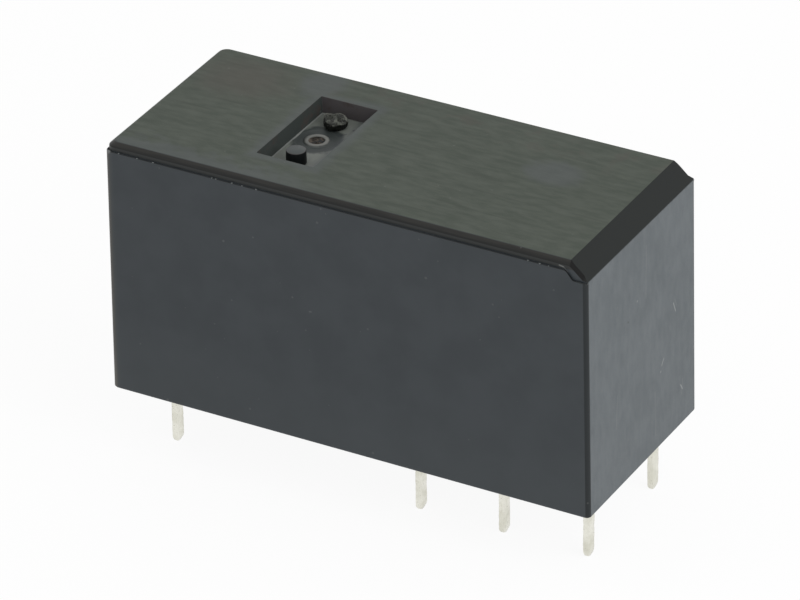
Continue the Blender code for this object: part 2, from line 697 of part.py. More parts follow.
def make_card(finish):
    near = -case_end + END_DRAFT + CASE_WALL + CARD_END_CLEARANCE
    stem, arm = CARD_WIDTH / 2, CARD_ARM_WIDTH / 2
    arm_near, arm_far = spring_x - CARD_ARM_LENGTH / 2, spring_x + CARD_ARM_LENGTH / 2
    outline = [
        (near, -stem), (arm_near - SHOULDER, -stem), (arm_near, -arm), (arm_far, -arm),
        (arm_far, arm), (arm_near, arm), (arm_near - SHOULDER, stem), (near, stem),
    ]
    card = solid("card", plan_profile(outline, card_bottom, card_top), finish, pivot=(near, 0, card_z))
    slot = TONGUE_WIDTH / 2 + HOLE_CLEARANCE
    cut(card, block(tongue_x - slot_half, tongue_x + slot_half, -slot, slot, 0, top_z), "armature_slot")
    back = spring_x - SPRING_THICKNESS / 2 - SLOT_BEHIND_SPRING
    front = spring_x + SPRING_THICKNESS / 2 + SLOT_BEFORE_SPRING
    reach = SPRING_TONGUE_WIDTH / 2 + HOLE_CLEARANCE
    for side_name, side in ROWS:
        y = side * contact_y
        cut(card, block(back, front, y - reach, y + reach, 0, top_z), f"spring_slot_{side_name}")


def pin_widths(y):
    """The widths of a solder pin from its tip up to its full width."""
    tip = [(0, y, PIN_TIP_WIDTH), (PIN_TIP_ROUND, y, PIN_TIP_SHOULDER_WIDTH)]
    return tip + [(PIN_TAPER, y, PIN_WIDTH)]


def make_coil_terminal(side_name, side, finish):
    y = side * pin_y
    into_plate = PIN_LENGTH + plate_top
    solid(f"coil_terminal_{side_name}", formed_strip(
        [(coil_pin_x, -PIN_LENGTH), (coil_pin_x, coil_post_top)], BEND_RADIUS, PIN_THICKNESS,
        pin_widths(y) + [(into_plate, y, PIN_WIDTH), (into_plate + SHOULDER, y, COIL_POST_WIDTH)],
    ), finish)


def make_fixed_blade(name, side, pin_x, blade_x, finish):
    """A terminal whose pin bends over on the base and stands up again beside its contact."""
    foot_z = plate_top + HOLE_CLEARANCE + PIN_THICKNESS / 2
    top = contact_z + BLADE_OVER_CONTACT
    foot = PIN_LENGTH + foot_z + BEND_RADIUS * (math.pi / 2 - 2)
    pin, blade = side * pin_y, side * contact_y
    terminal = solid(name, formed_strip(
        [(pin_x, -PIN_LENGTH), (pin_x, foot_z), (blade_x, foot_z), (blade_x, top)],
        BEND_RADIUS, PIN_THICKNESS,
        pin_widths(pin) + [
            (foot + BEND_RADIUS, pin, PIN_WIDTH), (foot + BEND_RADIUS + SHOULDER, blade, BLADE_WIDTH),
            (-SHOULDER, blade, BLADE_WIDTH), (-FIT, blade, BLADE_WIDTH - SHOULDER),
        ],
    ), finish)
    hole = SHANK_DIAMETER + 2 * FIT
    cut(terminal, rod(hole, blade_x - BEYOND, blade_x + BEYOND, (0, blade, contact_z)), "contact_hole")


def make_common_terminal(side_name, side, finish):
    pin, blade = side * pin_y, side * contact_y
    above_plate = PIN_LENGTH + plate_top + HOLE_CLEARANCE
    terminal = solid(f"common_terminal_{side_name}", formed_strip(
        [(common_x, -PIN_LENGTH), (common_x, spring_pivot_z + SPRING_FOOT)],
        BEND_RADIUS, PIN_THICKNESS,
        pin_widths(pin) + [(above_plate, pin, PIN_WIDTH), (above_plate + SHOULDER, blade, SPRING_FOOT_WIDTH)],
    ), finish)
    hole = SHANK_DIAMETER + 2 * FIT
    rivet_z = spring_pivot_z - RIVET_BELOW_PIVOT
    cut(terminal, rod(hole, common_x - BEYOND, common_x + BEYOND, (0, blade, rivet_z)), "rivet_hole")


def make_spring_rivet(side_name, side, finish):
    """Holds the foot of the contact spring to the common terminal."""
    shank, head, tail = SHANK_DIAMETER / 2, RIVET_HEAD_DIAMETER / 2, TAIL_DIAMETER / 2
    tail_tip, head_tip = TAIL_TIP_DIAMETER / 2, RIVET_HEAD_TIP_DIAMETER / 2
    back = common_x - PIN_THICKNESS / 2 - FIT
    front = spring_x + SPRING_THICKNESS / 2 + SPRING_FOOT_CLEARANCE
    solid(f"spring_rivet_{side_name}", turned([
        (0, back - TAIL_THICKNESS), (tail_tip, back - TAIL_THICKNESS), (tail, back), (shank, back),
        (shank, front), (head, front), (head, front + RIVET_HEAD_EDGE),
        (head_tip, front + RIVET_HEAD_THICKNESS), (0, front + RIVET_HEAD_THICKNESS),
    ], (0, side * contact_y, spring_pivot_z - RIVET_BELOW_PIVOT), "X"), finish)


def make_contact_spring(side_name, side, finish):
    """The thin blade that swings between the fixed contacts, on its foot."""
    y = side * contact_y
    foot_z = spring_pivot_z - SPRING_FOOT
    foot, blade_start = 2 * SPRING_FOOT, 2 * SPRING_FOOT + SHOULDER
    shoulder = contact_z + BLADE_OVER_CONTACT - foot_z
    spring = solid(f"contact_spring_{side_name}", formed_strip(
        [(spring_x, foot_z), (spring_x, card_top + SPRING_OVER_CARD)], BEND_RADIUS, SPRING_THICKNESS,
        [(0, y, SPRING_FOOT_WIDTH), (foot, y, SPRING_FOOT_WIDTH), (blade_start, y, SPRING_WIDTH),
         (shoulder, y, SPRING_WIDTH), (shoulder + SHOULDER, y, SPRING_TONGUE_WIDTH)],
    ), finish, pivot=(spring_x, y, spring_pivot_z))
    rivet_hole = SHANK_DIAMETER + 2 * HOLE_CLEARANCE
    rivet_z = spring_pivot_z - RIVET_BELOW_PIVOT
    cut(spring, rod(rivet_hole, spring_x - BEYOND, spring_x + BEYOND, (0, y, rivet_z)), "rivet_hole")
    hole = SHANK_DIAMETER + 2 * FIT
    cut(spring, rod(hole, spring_x - BEYOND, spring_x + BEYOND, (0, y, contact_z)), "contact_hole")


def make_moving_contact(side_name, side, finish):
    """A silver rivet with a domed face to each side of the spring."""
    radius, shank = CONTACT_DIAMETER / 2, SHANK_DIAMETER / 2
    inner = SPRING_THICKNESS / 2 + FIT
    far_side = dome(radius, inner + CONTACT_HEAD - CONTACT_DOME, CONTACT_DOME)
    near_side = [(r, -along) for r, along in reversed(far_side)]
    middle = [(radius, -inner), (shank, -inner), (shank, inner), (radius, inner)]
    y = side * contact_y
    pivot = (spring_x, y, spring_pivot_z)
    profile = near_side + middle + far_side
    solid(f"moving_contact_{side_name}", turned(profile, (spring_x, y, contact_z), "X"), finish, pivot)


def make_fixed_contact(name, side, face_x, into, finish):
    """A flat silver rivet in a fixed blade. into is the direction from its face to the blade."""
    radius, shank, tail = FIXED_CONTACT_DIAMETER / 2, SHANK_DIAMETER / 2, TAIL_DIAMETER / 2
    back = CONTACT_HEAD + PIN_THICKNESS + 2 * FIT
    profile = [
        (0, 0), (radius - FIT, 0), (radius, FIT), (radius, CONTACT_HEAD), (shank, CONTACT_HEAD),
        (shank, back), (tail, back), (TAIL_TIP_DIAMETER / 2, back + TAIL_THICKNESS),
        (0, back + TAIL_THICKNESS),
    ]
    profile = [(r, along * into) for r, along in profile]
    solid(name, turned(profile, (face_x, side * contact_y, contact_z), "X"), finish)


def make_solder(side_name, side, finish):
    """The solder cap over the top of a coil terminal, where the wire ends."""
    hole = COIL_POST_WIDTH * math.sqrt(0.5) + FIT
    bottom, roof = ear_top + FIT, coil_post_top + FIT
    cap = lump_profile(SOLDER_OUTLINE, SOLDER_DIAMETER / 2, bottom, roof + COIL_POST_WIDTH / 2 - bottom)
    place = (coil_pin_x, side * pin_y, 0)
    solid(f"solder_{side_name}", turned([(0, roof), (hole, roof), (hole, bottom)] + cap, place), finish)


def make_coil_lead(side_name, side, finish):
    """The end of the winding's wire: round the coil, through the flange's notch, to the solder."""
    reach = COIL_DIAMETER / 2 + WIRE_DIAMETER / 2 + FIT
    wire_angle = math.asin((coil_z - wire_z) / reach)
    start_x = winding_near_x + 2 * COIL_SHOULDER
    points = []
    for share in (0.0, 0.3, 0.6, 0.85, 1.0):
        angle = wire_angle * share
        points.append((start_x, side * reach * math.cos(angle), coil_z - reach * math.sin(angle)))
    leave_y = side * reach * math.cos(wire_angle)
    end_x = coil_pin_x + SOLDER_DIAMETER / 2 + WIRE_DIAMETER / 2 + FIT
    for share in (0.25, 0.5, 0.75, 1.0):
        y = leave_y + (side * pin_y - leave_y) * share
        points.append((start_x + (end_x - start_x) * share, y, wire_z))
    curve = bpy.data.curves.new(f"coil_lead_{side_name}", "CURVE")
    curve.dimensions = "3D"
    curve.bevel_depth = WIRE_DIAMETER / 2 * MM
    curve.bevel_resolution = 2
    curve.use_fill_caps = True
    curve.materials.append(finish)
    spline = curve.splines.new("POLY")
    spline.points.add(len(points) - 1)
    for place, point in zip(spline.points, points):
        place.co = (*(Vector(point) * MM), 1.0)
    bpy.context.scene.collection.objects.link(bpy.data.objects.new(curve.name, curve))


def build():
    for obj in list(bpy.data.objects):
        bpy.data.objects.remove(obj, do_unlink=True)
    make_case(look("case_thermoplastic", (0.075, 0.085, 0.08), 0.45))
    make_base(look("base_thermoplastic", (0.05, 0.055, 0.055), 0.5))
    make_resin(look("potting_resin", (0.03, 0.03, 0.032), 0.3))
    make_bobbin(look("bobbin_nylon", (0.55, 0.52, 0.44), 0.45))
    make_winding(look("enamelled_copper", (0.5, 0.17, 0.06), 0.35, 0.8))
    make_core(look("soft_iron", (0.5, 0.5, 0.48), 0.35, 1.0))
    make_yoke(look("plated_steel", (0.55, 0.55, 0.53), 0.35, 1.0))
    make_armature(look("armature_steel", (0.5, 0.5, 0.5), 0.3, 1.0))
    make_armature_spring(look("spring_steel", (0.6, 0.6, 0.58), 0.25, 1.0))
    make_card(look("card_plastic", (0.75, 0.72, 0.62), 0.5))
    for side_name, side in ROWS:
        make_coil_terminal(side_name, side, look(f"coil_pin_tin_{side_name}", (0.7, 0.7, 0.66), 0.3, 1.0))
        make_coil_lead(side_name, side, look(f"lead_copper_{side_name}", (0.55, 0.2, 0.08), 0.3, 0.8))
        make_solder(side_name, side, look(f"solder_{side_name}", (0.65, 0.65, 0.62), 0.25, 1.0))
        make_fixed_blade(f"normally_closed_terminal_{side_name}", side, nc_pin_x, nc_blade_x,
                         look(f"closed_terminal_tin_{side_name}", (0.7, 0.7, 0.66), 0.3, 1.0))
        make_common_terminal(side_name, side, look(f"common_tin_{side_name}", (0.7, 0.7, 0.66), 0.3, 1.0))
        make_fixed_blade(f"normally_open_terminal_{side_name}", side, no_pin_x, no_blade_x,
                         look(f"open_terminal_tin_{side_name}", (0.7, 0.7, 0.66), 0.3, 1.0))
        make_fixed_contact(f"normally_closed_contact_{side_name}", side, nc_face_x, -1,
                           look(f"closed_contact_silver_{side_name}", (0.8, 0.79, 0.75), 0.2, 1.0))
        make_fixed_contact(f"normally_open_contact_{side_name}", side, no_face_x, 1,
                           look(f"open_contact_silver_{side_name}", (0.8, 0.79, 0.75), 0.2, 1.0))
        make_contact_spring(side_name, side, look(f"spring_bronze_{side_name}", (0.6, 0.36, 0.16), 0.3, 1.0))
        make_moving_contact(side_name, side, look(f"contact_silver_{side_name}", (0.8, 0.79, 0.75), 0.2, 1.0))
        make_spring_rivet(side_name, side, look(f"rivet_copper_{side_name}", (0.6, 0.3, 0.15), 0.3, 1.0))


build()
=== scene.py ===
import math
import random

import bmesh
import bpy
from mathutils import Matrix, Vector, noise


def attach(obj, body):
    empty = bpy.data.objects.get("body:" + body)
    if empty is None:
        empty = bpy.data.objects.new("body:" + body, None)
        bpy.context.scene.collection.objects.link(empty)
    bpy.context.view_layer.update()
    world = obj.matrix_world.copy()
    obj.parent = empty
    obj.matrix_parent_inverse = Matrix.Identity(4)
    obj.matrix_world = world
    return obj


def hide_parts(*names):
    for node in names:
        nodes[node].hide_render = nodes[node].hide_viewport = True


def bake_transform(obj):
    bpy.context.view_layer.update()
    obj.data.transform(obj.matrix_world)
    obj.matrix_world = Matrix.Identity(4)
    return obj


# Looks of a sealed relay for circuit boards. Shapes are made in millimetres, and piece() turns them
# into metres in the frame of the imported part. Each section holds one kind of piece, in the order in
# which the relay is put together.
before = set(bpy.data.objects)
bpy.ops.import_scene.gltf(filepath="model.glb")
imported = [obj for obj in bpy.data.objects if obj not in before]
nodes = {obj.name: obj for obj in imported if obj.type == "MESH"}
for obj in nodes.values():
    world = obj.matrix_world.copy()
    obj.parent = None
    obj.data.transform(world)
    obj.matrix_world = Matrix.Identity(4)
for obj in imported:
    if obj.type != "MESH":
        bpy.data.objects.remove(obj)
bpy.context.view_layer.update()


# Base
# The base is a plate injection moulded in near-black glass-filled thermoplastic. It carries the
# barrier between coil and contacts and the wall between the two poles, and its raised seat stands
# on the board. The pins are pushed through its slots.
MM = 0.001
ROWS = (("front", -1), ("rear", 1))
RIM_Z, PLATE_LOW_Z, PLATE_TOP_Z = 0.35, 0.9, 2.2
INNER_END, INNER_SIDE = 13.7497, 5.6
SEAT_END, SEAT_SIDE = 12.7497, 2.6
BARRIER_X, BARRIER_THICKNESS, BARRIER_SIDE, WALL_TOP_Z = 1.1493, 0.8, 5.25, 12.2
POLE_WALL_END, POLE_WALL_THICKNESS = 12.5497, 0.7
COIL_PIN_X, CLOSED_PIN_X, COMMON_X, OPEN_PIN_X, PIN_Y = -11.9007, 3.0993, 8.0993, 13.0993, 3.75
PIN_X = (COIL_PIN_X, CLOSED_PIN_X, COMMON_X, OPEN_PIN_X)
PIN_THICKNESS, PIN_WIDTH, SLOT_PLAY = 0.35, 0.7, 0.05
CORNER_STEPS = 8
EJECTOR_X, EJECTOR_RADIUS, EJECTOR_DEPTH = (-11.2, -4.0, 4.0, 11.2), 0.75, 0.06
GATE_SCAR_RADIUS, GATE_SCAR_DEPTH = 0.45, 0.09


class Value:
    """The output of a shader node. Sums, products and the like of values are new nodes."""

    def __init__(self, socket):
        self.socket = socket
        self.tree = socket.id_data

    def __add__(self, other):
        return calculated("ADD", self, other)

    def __sub__(self, other):
        return calculated("SUBTRACT", self, other)

    def __rsub__(self, other):
        return calculated("SUBTRACT", other, self)

    def __mul__(self, other):
        return calculated("MULTIPLY", self, other)

    def __truediv__(self, other):
        return calculated("DIVIDE", self, other)

    def __abs__(self):
        return calculated("ABSOLUTE", self)

    def to(self, socket):
        self.tree.links.new(self.socket, socket)


def values(sockets):
    """Sockets as values, by number and by name. The first of two that share a name has it."""
    found = {socket.name: Value(socket) for socket in reversed(sockets)}
    found.update({number: Value(socket) for number, socket in enumerate(sockets)})
    return found


def add(tree, kind, inputs=None, **settings):
    """The outputs of a new shader node. Each input is a number, a colour or another node's value."""
    made = tree.nodes.new(kind)
    for key, value in settings.items():
        setattr(made, key, value)
    for key, value in (inputs or {}).items():
        if isinstance(value, Value):
            value.to(made.inputs[key])
        else:
            made.inputs[key].default_value = value
    return values(made.outputs)


def calculated(operation, first, second=0.0, clamp=False):
    tree = (first if isinstance(first, Value) else second).tree
    return add(tree, "ShaderNodeMath", {0: first, 1: second}, operation=operation, use_clamp=clamp)[0]


def larger(first, second):
    return calculated("MAXIMUM", first, second)


def vector_node(operation, first, second):
    return add(first.tree, "ShaderNodeVectorMath", {0: first, 1: second}, operation=operation)


def stretched(vector, factors):
    return vector_node("MULTIPLY", vector, factors)["Vector"]


def between(value, low, high):
    """0 where value is at low, 1 at high, and a smooth step between them."""
    inputs = {"Value": value, "From Min": low, "From Max": high}
    return add(value.tree, "ShaderNodeMapRange", inputs, interpolation_type="SMOOTHSTEP")["Result"]


def ranged(value, low, high):
    """A mask from 0 to 1 turned into a value from low to high."""
    return add(value.tree, "ShaderNodeMapRange", {"Value": value, "To Min": low, "To Max": high})["Result"]


def blended(share, first, second):
    """Two colours mixed by a mask."""
    inputs = {0: share}
    for number, colour in ((6, first), (7, second)):
        inputs[number] = colour if isinstance(colour, Value) else (*colour, 1.0)
    return add(share.tree, "ShaderNodeMix", inputs, data_type="RGBA")[2]


def toned(value, low, high, first, second):
    """The first colour where value is at low, and the second where it is at high."""
    return blended(between(value, low, high), first, second)


def coated(colour, *coats):
    """A colour under coats, each a mask and its colour."""
    for mask, paint in coats:
        colour = blended(mask, colour, paint)
    return colour


def noise_value(vector, scale, detail=3.0, roughness=0.55):
    inputs = {"Vector": vector, "Scale": scale, "Detail": detail, "Roughness": roughness}
    return add(vector.tree, "ShaderNodeTexNoise", inputs)["Fac"]


def effect(name, outputs, **inputs):
    """An empty shader node group, the values given to it, and its output sockets."""
    tree = bpy.data.node_groups.new(name, "ShaderNodeTree")
    tree.interface.new_socket("Vector", in_out="INPUT", socket_type="NodeSocketVector")
    for label, value in inputs.items():
        kind = "NodeSocketVector" if isinstance(value, tuple) else "NodeSocketFloat"
        tree.interface.new_socket(label, in_out="INPUT", socket_type=kind).default_value = value
    for label in outputs:
        tree.interface.new_socket(label, in_out="OUTPUT", socket_type="NodeSocketFloat")
    return tree, values(tree.nodes.new("NodeGroupInput").outputs), tree.nodes.new("NodeGroupOutput").inputs


def placed(group, **inputs):
    """A shared effect in a material, with this material's own values."""
    return add(inputs["Vector"].tree, "ShaderNodeGroup", inputs, node_tree=group)


# Paler, rubbed edges: where the surface turns outwards within a short reach, in patches.
edge_wear, given, out = effect("Edge wear", ["Mask"], Reach=0.00008, Patches=2.0)
soft_normal = add(edge_wear, "ShaderNodeBevel", {"Radius": given["Reach"]}, samples=4)["Normal"]
true_normal = add(edge_wear, "ShaderNodeNewGeometry")["Normal"]
edge = between(1.0 - vector_node("DOT_PRODUCT", soft_normal, true_normal)["Value"], 0.01, 0.16)
openness = add(edge_wear, "ShaderNodeAmbientOcclusion", {"Distance": 0.00025}, samples=6)["AO"]
patches = between(noise_value(given["Vector"], given["Patches"], 4.0), 0.38, 0.62)
(edge * between(openness, 0.8, 0.97) * patches).to(out["Mask"])

# The skin of a moulding: fine grain, slow changes of tone, and the marks of the plastic's flow.
moulded_skin, given, out = effect(
    "Moulded skin", ["Height", "Tone", "Flow"], Grain=16.0, Flow=(0.25, 2.5, 2.5))
noise_value(given["Vector"], given["Grain"], 4.0, 0.6).to(out["Height"])
noise_value(given["Vector"], 0.45, 3.0).to(out["Tone"])
noise_value(stretched(given["Vector"], given["Flow"]), 1.6, 5.0, 0.6).to(out["Flow"])

# Scattered specks of dust or bare fibre.
specks, given, out = effect("Specks", ["Mask"], Spacing=1.0, Size=0.06)
near = add(specks, "ShaderNodeTexVoronoi", {"Vector": given["Vector"], "Scale": given["Spacing"]})
own_size = given["Size"] * noise_value(given["Vector"], 0.9, 1.0)
calculated("LESS_THAN", near["Distance"], own_size).to(out["Mask"])


def finish_material(name, metallic=0.0):
    """A material with its shader and its place on the object in millimetres."""
    made = bpy.data.materials.new(name)
    made.use_nodes = True
    tree = made.node_tree
    shader = tree.nodes["Principled BSDF"].inputs
    shader["Metallic"].default_value = metallic
    coordinates = add(tree, "ShaderNodeTexCoord")["Object"]
    scaled = add(tree, "ShaderNodeVectorMath", {0: coordinates, "Scale": 1 / MM}, operation="SCALE")
    return made, shader, scaled["Vector"]


def roughened(shader, height, depth, strength=0.4):
    inputs = {"Height": height, "Strength": strength, "Distance": depth * MM}
    add(height.tree, "ShaderNodeBump", inputs)["Normal"].to(shader["Normal"])


def moulded_finish(name, dark, light, rubbed, gloss, flow=(0.3, 2.0, 2.0), grain=14.0):
    """Moulded thermoplastic: two tones, flow marks, specks and rubbed edges. gloss is two roughnesses."""
    made, shader, place = finish_material(name)
    skin = placed(moulded_skin, Vector=place, Grain=grain, Flow=flow)
    colour = toned(skin["Tone"] * 0.6 + skin["Flow"] * 0.4, 0.35, 0.65, dark, light)
    dots = placed(specks, Vector=place, Spacing=1.1, Size=0.1)["Mask"]
    worn = placed(edge_wear, Vector=place, Reach=0.00006, Patches=1.5)["Mask"]
    coated(colour, (dots * 0.4, rubbed), (worn * 0.6, rubbed)).to(shader["Base Color"])
    ranged(skin["Flow"], *gloss).to(shader["Roughness"])
    roughened(shader, skin["Height"], 0.012)
    return made


def loft(rings):
    """A closed shape through rings of points, each with as many points as the next."""
    shape = bmesh.new()
    loops = [[shape.verts.new(point) for point in ring] for ring in rings]
    for low, high in zip(loops, loops[1:]):
        for i in range(len(low)):
            j = (i + 1) % len(low)
            shape.faces.new((low[i], low[j], high[j], high[i]))
    shape.faces.new(loops[0])
    shape.faces.new(loops[-1])
    bmesh.ops.recalc_face_normals(shape, faces=shape.faces)
    return shape


def rounded(x_low, x_high, y_low, y_high, radius, z, steps=CORNER_STEPS):
    """A rectangle with round corners at a height."""
    centres = ((x_high - radius, y_high - radius), (x_low + radius, y_high - radius),
               (x_low + radius, y_low + radius), (x_high - radius, y_low + radius))
    points = []
    for quarter, (x, y) in enumerate(centres):
        for step in range(steps + 1):
            angle = math.pi / 2 * (quarter + step / steps)
            points.append((x + radius * math.cos(angle), y + radius * math.sin(angle), z))
    return points


def block(x_low, x_high, y_low, y_high, z_low, z_high):
    return loft([[(x_low, y_low, z), (x_high, y_low, z), (x_high, y_high, z), (x_low, y_high, z)]
                 for z in (z_low, z_high)])


def pin_boxes(play, z_low, z_high):
    """A box round each pin, with some play on every side."""
    reach_x, reach_y = PIN_THICKNESS / 2 + play, PIN_WIDTH / 2 + play
    return [block(x - reach_x, x + reach_x, side * PIN_Y - reach_y, side * PIN_Y + reach_y, z_low, z_high)
            for x in PIN_X for _, side in ROWS]


def turned(profile, centre, steps=48, axis="Z"):
    """A turned shape from (radius, distance along the axis) points. It is a ring if no point is on it."""
    shape = bmesh.new()
    loops = []
    for radius, along in profile:
        count = steps if radius else 1
        angles = [2 * math.pi * step / steps for step in range(count)]
        loops.append([shape.verts.new((radius * math.cos(a), radius * math.sin(a), along)) for a in angles])
    if profile[0][0]:
        loops.append(loops[0])
    for low, high in zip(loops, loops[1:]):
        for i in range(steps):
            j = (i + 1) % steps
            around = (low[i % len(low)], low[j % len(low)], high[j % len(high)], high[i % len(high)])
            shape.faces.new(tuple(dict.fromkeys(around)))
    if axis == "X":
        turn = Matrix.Rotation(math.pi / 2, 3, "Y")
        bmesh.ops.rotate(shape, verts=shape.verts, cent=(0, 0, 0), matrix=turn)
    bmesh.ops.translate(shape, verts=shape.verts, vec=centre)
    bmesh.ops.recalc_face_normals(shape, faces=shape.faces)
    return shape


def gathered(shapes):
    """Several separate shapes as one."""
    mesh = bpy.data.meshes.new("gathered")
    whole = bmesh.new()
    for shape in shapes:
        shape.to_mesh(mesh)
        shape.free()
        whole.from_mesh(mesh)
    bpy.data.meshes.remove(mesh)
    return whole


def held(shape):
    """A shape in millimetres as an object for a modifier to work on."""
    mesh = bpy.data.meshes.new("work")
    shape.to_mesh(mesh)
    shape.free()
    obj = bpy.data.objects.new("work", mesh)
    bpy.context.scene.collection.objects.link(obj)
    return obj


def worked(obj, *others):
    """The shape that an object's modifiers give. The object and its helpers are deleted."""
    shape = bmesh.new()
    shape.from_object(obj, bpy.context.evaluated_depsgraph_get())
    for used in (obj, *others):
        mesh = used.data
        bpy.data.objects.remove(used)
        bpy.data.meshes.remove(mesh)
    return shape


def combined(shape, other, operation):
    """Two shapes joined (UNION), or the second cut out of the first (DIFFERENCE)."""
    first, second = held(shape), held(other)
    change = first.modifiers.new("combine", "BOOLEAN")
    change.operation = operation
    change.solver = "EXACT"
    change.object = second
    return worked(first, second)


def eased(shape, width, segments=2, from_degrees=38):
    """The shape with its sharp edges rounded. Faces round an opening are split first, to stay flat."""
    bmesh.ops.triangulate(shape, faces=[face for face in shape.faces if len(face.verts) > 4])
    obj = held(shape)
    change = obj.modifiers.new("ease", "BEVEL")
    change.width = width
    change.segments = segments
    change.limit_method = "ANGLE"
    change.angle_limit = math.radians(from_degrees)
    change.use_clamp_overlap = False
    return worked(obj)


def piece(name, shape, finish, body, slot, *replaced, sharp=40):
    """A shape in millimetres made into a piece that rides on a body of the part."""
    bmesh.ops.scale(shape, vec=(MM, MM, MM), verts=shape.verts)
    mesh = bpy.data.meshes.new(name)
    shape.to_mesh(mesh)
    shape.free()
    mesh.materials.append(finish)
    mesh.shade_smooth()
    mesh.set_sharp_from_angle(angle=math.radians(sharp))
    obj = bpy.data.objects.new(name, mesh)
    bpy.context.scene.collection.objects.link(obj)
    obj.modifiers.new("weighted_normals", "WEIGHTED_NORMAL").keep_sharp = True
    if body:
        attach(obj, body)
    if replaced:
        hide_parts(*replaced)
    return obj


base_finish = moulded_finish(
    "base_moulding", (0.017, 0.019, 0.019), (0.026, 0.029, 0.028), (0.085, 0.088, 0.084), (0.42, 0.56))
plate_foot_z = (PLATE_LOW_Z + PLATE_TOP_Z) / 2
base = loft([rounded(-INNER_END, INNER_END, -INNER_SIDE, INNER_SIDE, 0.3, z)
             for z in (PLATE_LOW_Z, PLATE_TOP_Z)])
seat_rings = [rounded(inset - SEAT_END, SEAT_END - inset, inset - SEAT_SIDE, SEAT_SIDE - inset, 0.2, z)
              for inset, z in ((0.06, 0.0), (0.02, 0.02), (0.0, 0.06), (0.0, plate_foot_z))]
base = combined(base, loft(seat_rings), "UNION")
barrier = block(BARRIER_X, BARRIER_X + BARRIER_THICKNESS, -BARRIER_SIDE, BARRIER_SIDE,
                plate_foot_z, WALL_TOP_Z)
base = combined(base, barrier, "UNION")
pole_wall = block(BARRIER_X + BARRIER_THICKNESS / 2, POLE_WALL_END, -POLE_WALL_THICKNESS / 2,
                  POLE_WALL_THICKNESS / 2, plate_foot_z - 0.05, WALL_TOP_Z - 0.05)
base = combined(base, pole_wall, "UNION")
base = combined(base, gathered(pin_boxes(SLOT_PLAY, -2.0, 3.0)), "DIFFERENCE")
ejector = [(0, -1.0), (EJECTOR_RADIUS, -1.0), (EJECTOR_RADIUS, EJECTOR_DEPTH), (0, EJECTOR_DEPTH)]
marks = [turned(ejector, (x, 0, 0)) for x in EJECTOR_X]
marks.append(turned([(0, -1.0), (GATE_SCAR_RADIUS + 0.1, -1.0), (GATE_SCAR_RADIUS, 0.03),
                     (GATE_SCAR_RADIUS * 0.4, GATE_SCAR_DEPTH), (0, GATE_SCAR_DEPTH * 0.5)], (0, 0, 0)))
base = combined(base, gathered(marks), "DIFFERENCE")
piece("base_plate", eased(base, 0.03), base_finish, "housing", "base_plastic", "base")


# Terminals
# The eight terminals are stamped from copper alloy strip, bent, and hot tinned on their solder pins.
# Each is pushed through its slot in the base. The contact terminals bend over on the base and stand
# up again beside the springs, and the coil terminals end as thin posts for the wire.
PIN_LENGTH, PIN_TAPER, PIN_TIP_THICKNESS = 3.5, 0.35, 0.17
STRIP_EDGE, BEND_RADIUS = 0.06, 0.35
FOOT_Z = PLATE_TOP_Z + 0.1 + PIN_THICKNESS / 2
BLADE_Y, BLADE_WIDTH, BLADE_TOP_Z = 2.95, 3.2, 10.9
CLOSED_BLADE_X, OPEN_BLADE_X = 7.2693, 10.0793
SPRING_FOOT_WIDTH, SPRING_PIVOT_Z, SPRING_FOOT = 3.0, 4.2, 0.9
CONTACT_Z, RIVET_Z = 9.5, 3.75
COIL_POST_TOP_Z, COIL_POST_WIDTH = 6.4, 0.35
PIN_PACE, BLADE_PACE = 0.07, 0.25
HOLE_RADIUS = 0.45
DENT_DEPTH, DENT_SCALE = 0.016, 3.2

# Drawn or rolled metal: lines along its length, slow clouds of tarnish, and small pits.
worked_metal, given, out = effect(
    "Worked metal", ["Lines", "Cloud", "Pits"], Lines=(6.0, 6.0, 0.3), Fine=4.0)
noise_value(stretched(given["Vector"], given["Lines"]), given["Fine"], 3.0, 0.6).to(out["Lines"])
noise_value(given["Vector"], 1.1, 4.0, 0.6).to(out["Cloud"])
between(noise_value(given["Vector"], 13.0, 2.0, 0.5), 0.62, 0.72).to(out["Pits"])


def metal_finish(name, bright, dull, pitted, gloss, lines=(6.0, 6.0, 0.3), fine=4.0, depth=0.008):
    """Worked metal in two tones, with darker pits and brighter edges. gloss is two roughnesses."""
    made, shader, place = finish_material(name, 1.0)
    surface = placed(worked_metal, Vector=place, Lines=lines, Fine=fine)
    colour = toned(surface["Cloud"], 0.35, 0.68, bright, dull)
    worn = placed(edge_wear, Vector=place, Reach=0.00005, Patches=2.5)["Mask"]
    rubbed = tuple(min(1.0, c * 1.2) for c in bright)
    coated(colour, (surface["Pits"] * 0.5, pitted), (worn * 0.5, rubbed)).to(shader["Base Color"])
    sheen = surface["Lines"] * 0.6 + surface["Cloud"] * 0.4
    ranged(between(sheen, 0.3, 0.7), *gloss).to(shader["Roughness"])
    roughened(shader, surface["Lines"] - surface["Pits"] * 0.5, depth, 0.5)
    return made


